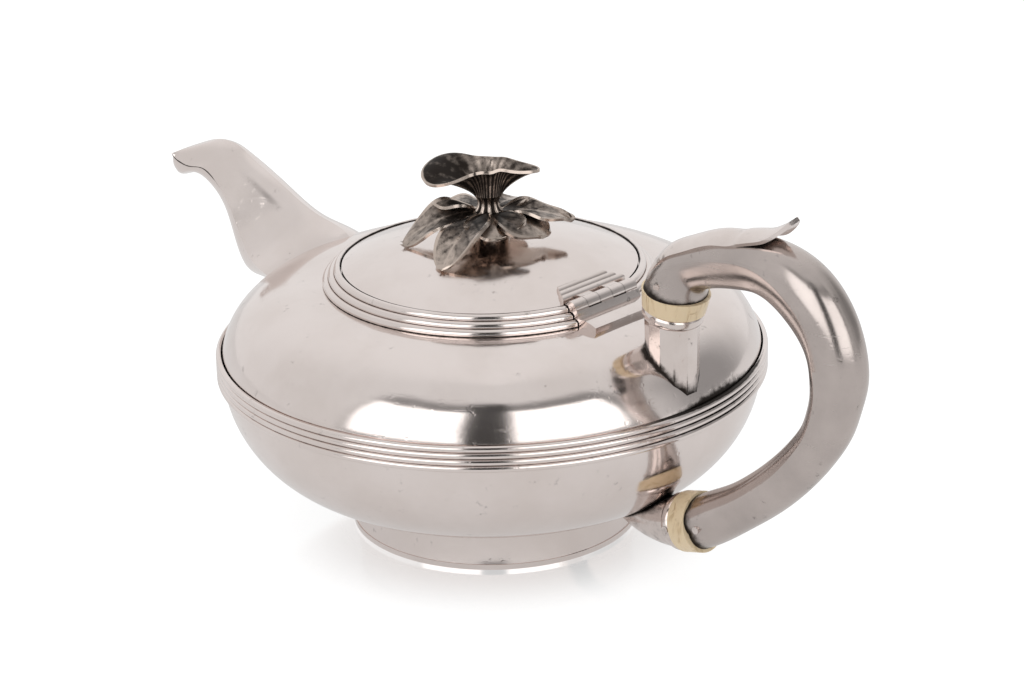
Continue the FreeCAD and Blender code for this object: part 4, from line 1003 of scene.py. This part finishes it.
def handle_half_section(stations):
    """Half sections (depth, width) from the middle of the back to the middle of the inner face.

    Back and inner face are halves of arcs over the whole width; the side drops straight from the back to
    the ridge, and the cheek is an arc from ridge to heel.
    """
    steps = HANDLE_STEPS
    outer, inner, wide, roundness, share, drop = stations.T
    outer, inner, wide, drop = outer * MM, inner * MM, wide * MM, drop * MM
    brow = share * outer
    ridge = brow - drop
    heel = -HEEL_SHARE * inner
    heel_wide = wide * (HEEL_WIDTH[0] + HEEL_WIDTH[1] * roundness)
    cheek_wide = (wide + heel_wide) / 2 + wide * (CHEEK_FULLNESS[0] + CHEEK_FULLNESS[1] * roundness)
    zero = 0 * outer
    back = arc_through(pair(brow, -wide), pair(outer, zero), pair(brow, wide), 2 * steps + 1)
    bulge = pair((ridge + heel) / 2, cheek_wide)
    cheek = arc_through(pair(ridge, wide), bulge, pair(heel, heel_wide), steps)
    belly = arc_through(pair(heel, heel_wide), pair(-inner, zero), pair(heel, -heel_wide), 2 * steps + 1)
    return np.concatenate([back[:, steps:], cheek[:, :-1], belly[:, :steps + 1]], axis=1)


class TEAPOT_OT_handle(bpy.types.Operator):
    """Two halves of the hollow handle and the leaf for the thumb"""
    bl_idname = "teapot.handle"
    bl_label = "Handle"

    def execute(self, context):
        rows = HANDLE_ROWS
        places = even_places(HANDLE_STATIONS, rows)
        centre, heading = handle_frames(places)
        centre = softened(centre, HANDLE_EASE)
        heading = softened(heading, HANDLE_EASE)
        heading[0] = math.pi / 2 - UPPER_LEAN
        heading[-1] = LOWER_TILT - math.pi
        section = handle_half_section(softened(eased(HANDLE_STATIONS, places), HANDLE_EASE))
        x, z = set_off(centre, heading, section[..., 0])
        columns = section.shape[1]
        row = np.arange(rows)
        dirt = np.exp(-np.minimum(row, row[::-1]) / HANDLE_DIRT_ROWS)
        hollow = np.repeat(dirt[:, None], columns, axis=1)
        halves = (("handle_half_near", "handle_near", -1), ("handle_half_far", "handle_far", 1))
        for name, node, side in halves:
            points = np.stack([x, side * section[..., 1], z], axis=-1)
            faces = grid_quads(rows, columns, False, True)
            faces += [list(range(columns)), list(range((rows - 1) * columns, rows * columns))]
            make_piece(name, points, faces, "handled silver", "pot", [node], hollow, 24.0)
        self.leaf()
        return {"FINISHED"}

    def leaf(self):
        """Strip over the handle's back: across v it is at lift - camber v^2, and its end is rounded."""
        rows, columns = 110, 25
        table = np.array(LEAF_STATIONS)
        places = even_places(LEAF_STATIONS, rows)
        lift, wide, camber = spline_through(table[:, 0], table[:, 1:], places).T
        centre, heading = handle_frames(places)
        t = np.linspace(0, 1, rows)
        past = np.clip((t - 1 + LEAF_TIP_SHARE) / LEAF_TIP_SHARE, 0, 1)
        tip = np.sqrt(np.clip(1 - past ** 2, 0.002, 1))
        v = np.linspace(-1, 1, columns)[None, :]
        wide = (wide * tip)[:, None] * MM
        camber = (camber * tip ** 2)[:, None] * MM
        x, z = set_off(centre, heading, (LEAF_BACK + lift)[:, None] * MM - camber * v ** 2)
        points, faces = thick_sheet(np.stack([x, wide * v + 0 * x, z], axis=-1), LEAF_WALL, False)
        make_piece("thumb_leaf_sheet", points, faces, "fitted silver", "pot", ["thumb_leaf"],
                   sharp=50.0)


class TEAPOT_OT_handle_joints(bpy.types.Operator):
    """Sockets, collars, ivory rings and cross pins that hold the handle"""
    bl_idname = "teapot.handle_joints"
    bl_label = "Handle joints"

    def execute(self, context):

        def grime(points):
            """Darker in the angle with the body, less with the distance from it; the pieces below the seam
            get a painted shade under the bowl.
            """
            radius = np.hypot(points[:, 0], points[:, 1])
            wall = bowl_line()[::-1]
            aside = radius - np.interp(points[:, 2], wall[:, 1], wall[:, 0])
            low = points[:, 2] < SEAM_Z
            away = np.where(low, aside, points[:, 2] - body_height(radius))
            # painted shade: the pieces below the seam are at least this dark
            return np.maximum(np.clip(1 - np.abs(away) / DARKENING_RISE, 0, 1), LOWER_SOCKET_SHADE * low)

        for node in ("upper_socket", "upper_collar", "lower_collar", "lower_socket",
                     "upper_pins", "lower_pins"):
            polished_copy(node, "fitted silver", "pot", 22.0, grime)
        for node in ("upper_insulator", "lower_insulator"):
            polished_copy(node, "aged ivory", "pot")
        return {"FINISHED"}


class TEAPOT_OT_finial(bpy.types.Operator):
    """Cast flower on its stem, over a bed of leaves"""
    bl_idname = "teapot.finial"
    bl_label = "Finial"

    # Leaves: direction in degrees, reach, half width, tip height above the lid, fold, edge ruffle, twist
    LEAVES = (
        (-76.0, 27.5, 7.0, 1.0, 1.0, 0.5, 0.20),
        (-34.0, 15.0, 9.0, 4.6, 0.3, 0.4, 0.05),
        (14.0, 19.5, 9.4, 4.2, -0.6, 0.5, 0.0),
        (46.0, 25.0, 5.4, 6.6, 1.3, 0.8, 0.10),
        (100.0, 17.0, 7.0, 8.0, 1.0, 1.0, 0.0),
        (186.0, 20.0, 7.5, 7.6, 1.2, 0.9, 0.1),
        (-132.0, 26.0, 6.2, 1.4, 1.4, 0.8, -0.35),
    )
    # Edge of the flower: bearing from the camera's right in degrees, reach, rise above the stem
    PETAL_EDGE = (
        (-90.0, 6.8, 9.2),
        (-62.0, 6.8, 9.4),
        (-34.0, 8.2, 8.8),
        (-12.0, 13.0, 7.6),
        (0.0, 15.4, 7.4),
        (12.0, 12.8, 8.2),
        (32.0, 8.4, 9.2),
        (60.0, 7.2, 9.4),
        (95.0, 7.0, 9.3),
        (120.0, 9.4, 9.8),
        (135.0, 13.6, 10.6),
        (155.0, 18.2, 10.4),
        (178.0, 20.0, 8.6),
        (197.0, 16.8, 6.2),
        (215.0, 11.2, 7.4),
        (234.0, 8.8, 8.8),
        (254.0, 7.4, 9.1),
    )
    # Flower: throat, ruffle and roll of the broad petal in millimetres, where the roll starts, and bearing
    # and spread in degrees of the broad petal and of the back
    THROAT = 3.4
    RUFFLE = 0.15
    ROLL = 2.6
    ROLL_START = 0.62
    BROAD = (175, 34)
    BACK = (85, 45)
    PETAL_WALL = 0.9 * MM
    # Stem: flutes, radius, how much it is drawn in, and radius and drop of its foot
    FLUTES = 9
    STEM_RADIUS = 4.0 * MM
    STEM_DRAW = 4.4 * MM
    STEM_FOOT_RADIUS = 6.5 * MM
    STEM_FOOT_DROP = 1.3 * MM
    # Where the leaves start, in millimetres from the axis
    LEAF_ROOT = 3.0

    def execute(self, context):
        self.stem(context.scene.teapot_sizes.flute_depth)
        self.bloom()
        self.leaves(context.scene.teapot_sizes.leaf_wall)
        return {"FINISHED"}

    def stem(self, depth):
        """Lathe line with flutes: the radius is r (1 + depth cos n a) for n flutes."""
        turns = full_turn(144)
        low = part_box("finial_stem")[0].z
        foot = self.STEM_FOOT_RADIUS
        line = np.array([(0.0, low), (foot, low), (foot, SHELF_Z - self.STEM_FOOT_DROP)])
        rise = np.linspace(0, 1, 30)
        radius = self.STEM_RADIUS - self.STEM_DRAW * rise * (1 - rise)
        waist = pair(radius, SHELF_Z + (STEM_TOP_Z - SHELF_Z) * rise)
        fluted = np.arange(len(line) + len(waist) + 1)[:, None] >= len(line)
        line = np.concatenate([line, waist, [[0.0, STEM_TOP_Z]]])
        points = lathe(line, turns)
        ripple = np.cos(self.FLUTES * turns)
        points[..., :2] *= (1 + depth * ripple * fluted)[..., None]
        hollow = (0.75 - 0.45 * ripple) * fluted + 0.2 * ~fluted
        make_piece("flower_stem", points, grid_quads(len(line), turns.shape[1], False, True), "cast silver",
                   "lid", ["finial_stem"], hollow, 50.0)

    def bloom(self):
        """Trumpet out to the petals' edge.

        The radius is t + (E - t) s^1.3 and the height H (1 - (1 - s)^1.5), with E and H the reach and rise
        of the edge and t the throat. The broad petal rolls over, and the edge is ruffled.
        """
        columns, rows = 200, 46
        bearing = np.linspace(-90, 270, columns, endpoint=False)
        table = np.array(self.PETAL_EDGE)
        table = np.concatenate([table + [turn, 0, 0] for turn in (-360, 0, 360)])
        edge, rise = spline_through(table[:, 0], table[:, 1:], bearing).T
        s = np.linspace(0, 1, rows)[:, None]
        broad = np.exp(-((bearing - self.BROAD[0]) / self.BROAD[1]) ** 2)
        back = np.exp(-((bearing - self.BACK[0]) / self.BACK[1]) ** 2)
        turns = np.radians(bearing) + CAMERA_AZIMUTH
        r = self.THROAT + (edge - self.THROAT) * s ** 1.3 + self.RUFFLE * s ** 2 * np.cos(9 * turns)
        z = rise * (1 - (1 - s) ** 1.5) + self.RUFFLE * s ** 2 * np.sin(7 * turns + 3 * s)
        z = z - self.ROLL * broad * np.clip((s - self.ROLL_START) / (1 - self.ROLL_START), 0, 1) ** 2
        grid = np.stack([r * np.cos(turns) * MM, r * np.sin(turns) * MM, STEM_TOP_Z + z * MM], axis=-1)
        points, faces = thick_sheet(grid, self.PETAL_WALL, True)
        floor = np.arange(columns).tolist()
        faces += [floor, [columns * rows + k for k in floor]]
        body = 1 - np.clip((s - 0.965) / 0.035, 0, 1)
        veins = 0.5 + 0.5 * np.cos(21 * turns + 2 * s)
        ribs = 0.5 + 0.5 * np.cos(34 * turns + 2 * np.sin(5 * turns))
        # inside: oxide in the veins with painted shade deep in the trumpet, darker on the broad petal and
        # lighter on the raised back petal
        inside = 0.74 + 0.10 * veins + 0.12 * broad - 0.14 * back * s
        outside = 0.68 + 0.32 * ribs + 0 * s
        hollow = np.concatenate([(inside * body).ravel(), (outside * body).ravel()])
        make_piece("flower_bloom", points, faces, "cast silver", "lid",
                   ["finial_bloom"], hollow, 60.0)

    def leaves(self, wall):
        """Each leaf: half width W (u^0.75 (1 - u)^0.62) scaled to 1, plus a stalk, on an arched midrib.

        Across v from -1 to 1 it is folded by v^2 and ruffled by a sine, and twisted.
        """
        u = np.linspace(0, 1, 48)[:, None]
        v = np.linspace(-1, 1, 25)[None, :]
        outline = (u ** 0.75) * (1 - u) ** 0.62
        outline = 0.12 * (1 - u) + outline / outline.max()
        rib = np.exp(-(v / 0.07) ** 2)
        side_veins = np.clip(np.cos(28 * (u - 0.35 * np.abs(v))), 0, 1) ** 6
        edge = np.clip(np.maximum((np.abs(v) - 0.86) / 0.14, (u - 0.95) / 0.05), 0, 1)
        shade = (0.98 - 0.36 * u ** 0.8 + 0.08 * side_veins - 0.14 * rib) * (1 - edge)
        shade = np.concatenate([shade.ravel(), np.full(shade.size, 0.2)])
        top = SHELF_Z / MM
        every, quads = [], []
        count = 0
        for direction, reach, wide, tip, fold, ruffle, twist in self.LEAVES:
            along = self.LEAF_ROOT + (reach - self.LEAF_ROOT) * u
            across = wide * outline * v
            lid = LID_TOP_Z - LID_SPHERE + np.sqrt(LID_SPHERE ** 2 - (reach * MM) ** 2)
            end = lid / MM + tip
            z = top + (end - top) * (0.25 * u + 0.75 * u ** 2.2) + 0.5 * np.sin(np.pi * u)
            z = z + fold * v ** 2 * np.sin(np.pi * u)
            z = z + ruffle * v ** 2 * np.sin(9 * u + 3 * v + direction) + twist * across
            turn = math.radians(direction)
            x = along * np.cos(turn) - across * np.sin(turn)
            y = along * np.sin(turn) + across * np.cos(turn)
            points, faces = thick_sheet(np.stack([x, y, z], axis=-1) * MM, wall, False)
            every.append(points)
            quads += [[count + k for k in face] for face in faces]
            count += len(points)
        make_piece("flower_leaves", np.concatenate(every), quads, "cast silver", "lid",
                   ["finial_leaves"], np.tile(shade, len(self.LEAVES)), 55.0)


class TEAPOT_OT_studio(bpy.types.Operator):
    """Camera, white floor, soft lamp and the studio that the silver reflects"""
    bl_idname = "teapot.studio"
    bl_label = "Studio"

    # Windows of the studio: azimuth from and to, height from and to, and softness, in degrees
    DIM_SIDE = (76.0, 130.0, -12.0, 44.0, 18.0)
    BORDER = (-64.5, 66.0, -4.0, 60.0, 5.0)
    SOFTBOXES = (-62.0, 57.0, 2.0, 49.0, 1.5)
    STRIP = (-14.0, 8.0, -10.0, 62.0, 2.5)
    # Where the cove brightens behind the pot, in degrees, and its level there and at the dim side as shares
    FAR_WALL = (90.0, 170.0)
    FAR_SHARE = 1.15
    DIM_SHARE = 0.42
    BORDER_LEVEL = 0.30
    STRIP_LEVEL = 0.06

    def execute(self, context):
        self.camera(context)
        self.floor(context)
        self.lamp(context)
        self.world(context)
        context.scene.view_settings.view_transform = "Standard"
        return {"FINISHED"}

    def camera(self, context):
        """Camera on a level circle round the pot, then pitched, yawed and rolled."""
        data = bpy.data.cameras.new("camera")
        data.sensor_fit = "HORIZONTAL"
        data.sensor_width = SENSOR_WIDTH
        data.lens = FOCAL_PIXELS * SENSOR_WIDTH / IMAGE_WIDTH
        camera = bpy.data.objects.new("camera", data)
        context.scene.collection.objects.link(camera)
        pitch, yaw, roll = CAMERA_PITCH, CAMERA_YAW, CAMERA_ROLL
        ahead = Vector((math.sin(yaw) * math.cos(pitch), math.cos(yaw) * math.cos(pitch),
                        -math.sin(pitch)))
        right = Vector((math.cos(yaw), -math.sin(yaw), 0.0))
        up = right.cross(ahead)
        level = Matrix.Rotation(CAMERA_AZIMUTH, 3, "Z")
        side = level @ (math.cos(roll) * right + math.sin(roll) * up)
        top = level @ (-math.sin(roll) * right + math.cos(roll) * up)
        turn = Matrix((side, top, -(level @ ahead))).transposed()
        place = Matrix.Translation(level @ Vector((0, -CAMERA_REACH, CAMERA_HEIGHT)))
        camera.matrix_world = place @ turn.to_4x4()
        context.scene.camera = camera

    def floor(self, context):
        """White disc, brighter to the camera than in the silver; near the foot the camera sees a gloss."""
        turns = full_turn(64)
        points = lathe(np.array([[FLOOR_REACH, 0.0]]), turns)[0]
        mesh = bpy.data.meshes.new("floor")
        mesh.from_pydata(points.tolist(), [], [list(range(len(points)))])
        material, tree = new_material("white floor")
        tree.nodes.clear()
        output = tree.nodes.new("ShaderNodeOutputMaterial")
        seen = tree.nodes.new("ShaderNodeLightPath").outputs["Is Camera Ray"]
        soft = add_node(tree, "ShaderNodeBsdfDiffuse", {"Color": (FLOOR_TONE, FLOOR_TONE, FLOOR_TONE, 1.0)})
        level = math_node(tree, "ADD", math_node(tree, "MULTIPLY", seen, FLOOR_GLOW_SEEN), FLOOR_GLOW)
        glow = add_node(tree, "ShaderNodeEmission", {"Color": WHITE, "Strength": level})
        matt = add_node(tree, "ShaderNodeAddShader", {0: soft.outputs[0], 1: glow.outputs[0]})
        gloss = add_node(tree, "ShaderNodeBsdfGlossy", {"Color": WHITE, "Roughness": FLOOR_ROUGHNESS})
        place = add_node(tree, "ShaderNodeTexCoord").outputs["Object"]
        reach = add_node(tree, "ShaderNodeVectorMath", {0: place}, operation="LENGTH").outputs["Value"]
        shine = span(tree, reach, FOOT_BASE_RADIUS, FLOOR_SHINE_END, *FLOOR_SHINE)
        shine = math_node(tree, "MULTIPLY", shine, seen)
        mix = add_node(tree, "ShaderNodeMixShader", {0: shine, 1: matt.outputs[0], 2: gloss.outputs[0]})
        join(tree, output, {"Surface": mix.outputs[0]})
        mesh.materials.append(material)
        floor = bpy.data.objects.new("floor", mesh)
        context.scene.collection.objects.link(floor)

    def lamp(self, context):
        """Square softbox over the pot, which the silver doesn't reflect."""
        data = bpy.data.lights.new("overhead softbox", "AREA")
        data.shape = "RECTANGLE"
        data.size = LAMP_SIZE
        data.size_y = LAMP_SIZE
        data.energy = context.scene.teapot_studio.lamp
        lamp = bpy.data.objects.new("overhead softbox", data)
        context.scene.collection.objects.link(lamp)
        lamp.location = (0.0, 0.0, LAMP_HEIGHT)
        lamp.visible_glossy = False

    def world(self, context):
        """White cove, dimmer to one side in reflections.

        Reflections also show two softboxes beside the camera, with a dark border and a dark strip between.
        """
        studio = context.scene.teapot_studio
        world = bpy.data.worlds.new("studio")
        context.scene.world = world
        world.use_nodes = True
        tree = world.node_tree
        tree.nodes.clear()
        direction = add_node(tree, "ShaderNodeTexCoord").outputs["Generated"]
        spin = add_node(tree, "ShaderNodeMapping",
                        {"Vector": direction, "Rotation": (0, 0, CAMERA_AZIMUTH)})
        parts = add_node(tree, "ShaderNodeSeparateXYZ", {0: spin.outputs[0]})
        azimuth = math_node(tree, "ARCTAN2", parts.outputs["Y"], parts.outputs["X"])
        azimuth = math_node(tree, "DEGREES", azimuth)
        height = math_node(tree, "DEGREES", math_node(tree, "ARCSINE", parts.outputs["Z"]))

        def between(value, low, high, soft):
            """One from low to high, falling off softly past both."""
            return math_node(tree, "MULTIPLY", span(tree, value, low - soft, low + soft),
                             span(tree, value, high - soft, high + soft, 1.0, 0.0))

        def layer(below, mask, level):
            """Level laid over what is below, by its mask."""
            links = {0: mask, 2: below, 3: level}
            return add_node(tree, "ShaderNodeMix", links, data_type="FLOAT").outputs[0]

        back = math_node(tree, "ABSOLUTE", azimuth)
        level = span(tree, back, *self.FAR_WALL, studio.cove, studio.cove * self.FAR_SHARE)
        windows = ((self.DIM_SIDE, self.DIM_SHARE * studio.cove), (self.BORDER, self.BORDER_LEVEL),
                   (self.SOFTBOXES, studio.window), (self.STRIP, self.STRIP_LEVEL))
        for (az_low, az_high, el_low, el_high, soft), bright in windows:
            mask = math_node(tree, "MULTIPLY", between(azimuth, az_low, az_high, soft),
                             between(height, el_low, el_high, soft))
            level = layer(level, mask, bright)
        path = tree.nodes.new("ShaderNodeLightPath").outputs
        mirror = math_node(tree, "MAXIMUM", path["Is Glossy Ray"], path["Is Transmission Ray"])
        strength = layer(layer(studio.fill, mirror, level), path["Is Camera Ray"], 1.0)
        glow = add_node(tree, "ShaderNodeBackground", {"Color": WHITE, "Strength": strength})
        output = tree.nodes.new("ShaderNodeOutputWorld")
        join(tree, output, {"Surface": glow.outputs[0]})


OPERATORS = (TEAPOT_OT_studio, TEAPOT_OT_body, TEAPOT_OT_rim, TEAPOT_OT_lid, TEAPOT_OT_hinge,
             TEAPOT_OT_spout, TEAPOT_OT_handle, TEAPOT_OT_handle_joints, TEAPOT_OT_finial)
GROUPS = (("teapot_sizes", TeapotSizes), ("teapot_finish", TeapotFinish), ("teapot_studio", TeapotStudio))


class TEAPOT_PT_panel(bpy.types.Panel):
    """Lists the operators and their settings"""
    bl_idname = "TEAPOT_PT_panel"
    bl_label = "Teapot"
    bl_space_type = "VIEW_3D"
    bl_region_type = "UI"
    bl_category = "Teapot"

    def draw(self, context):
        for operator in OPERATORS:
            self.layout.operator(operator.bl_idname)
        for name, group in GROUPS:
            for setting in group.__annotations__:
                self.layout.prop(getattr(context.scene, name), setting)


def register():
    for name, group in GROUPS:
        bpy.utils.register_class(group)
        setattr(bpy.types.Scene, name, bpy.props.PointerProperty(type=group))
    for operator in OPERATORS:
        bpy.utils.register_class(operator)
    bpy.utils.register_class(TEAPOT_PT_panel)


def unregister():
    bpy.utils.unregister_class(TEAPOT_PT_panel)
    for operator in reversed(OPERATORS):
        bpy.utils.unregister_class(operator)
    for name, group in reversed(GROUPS):
        delattr(bpy.types.Scene, name)
        bpy.utils.unregister_class(group)


def main():
    register()
    bpy.ops.teapot.studio()
    bpy.ops.teapot.body()
    bpy.ops.teapot.rim()
    bpy.ops.teapot.lid()
    bpy.ops.teapot.hinge()
    bpy.ops.teapot.spout()
    bpy.ops.teapot.handle()
    bpy.ops.teapot.handle_joints()
    bpy.ops.teapot.finial()


if __name__ == "__main__":
    main()
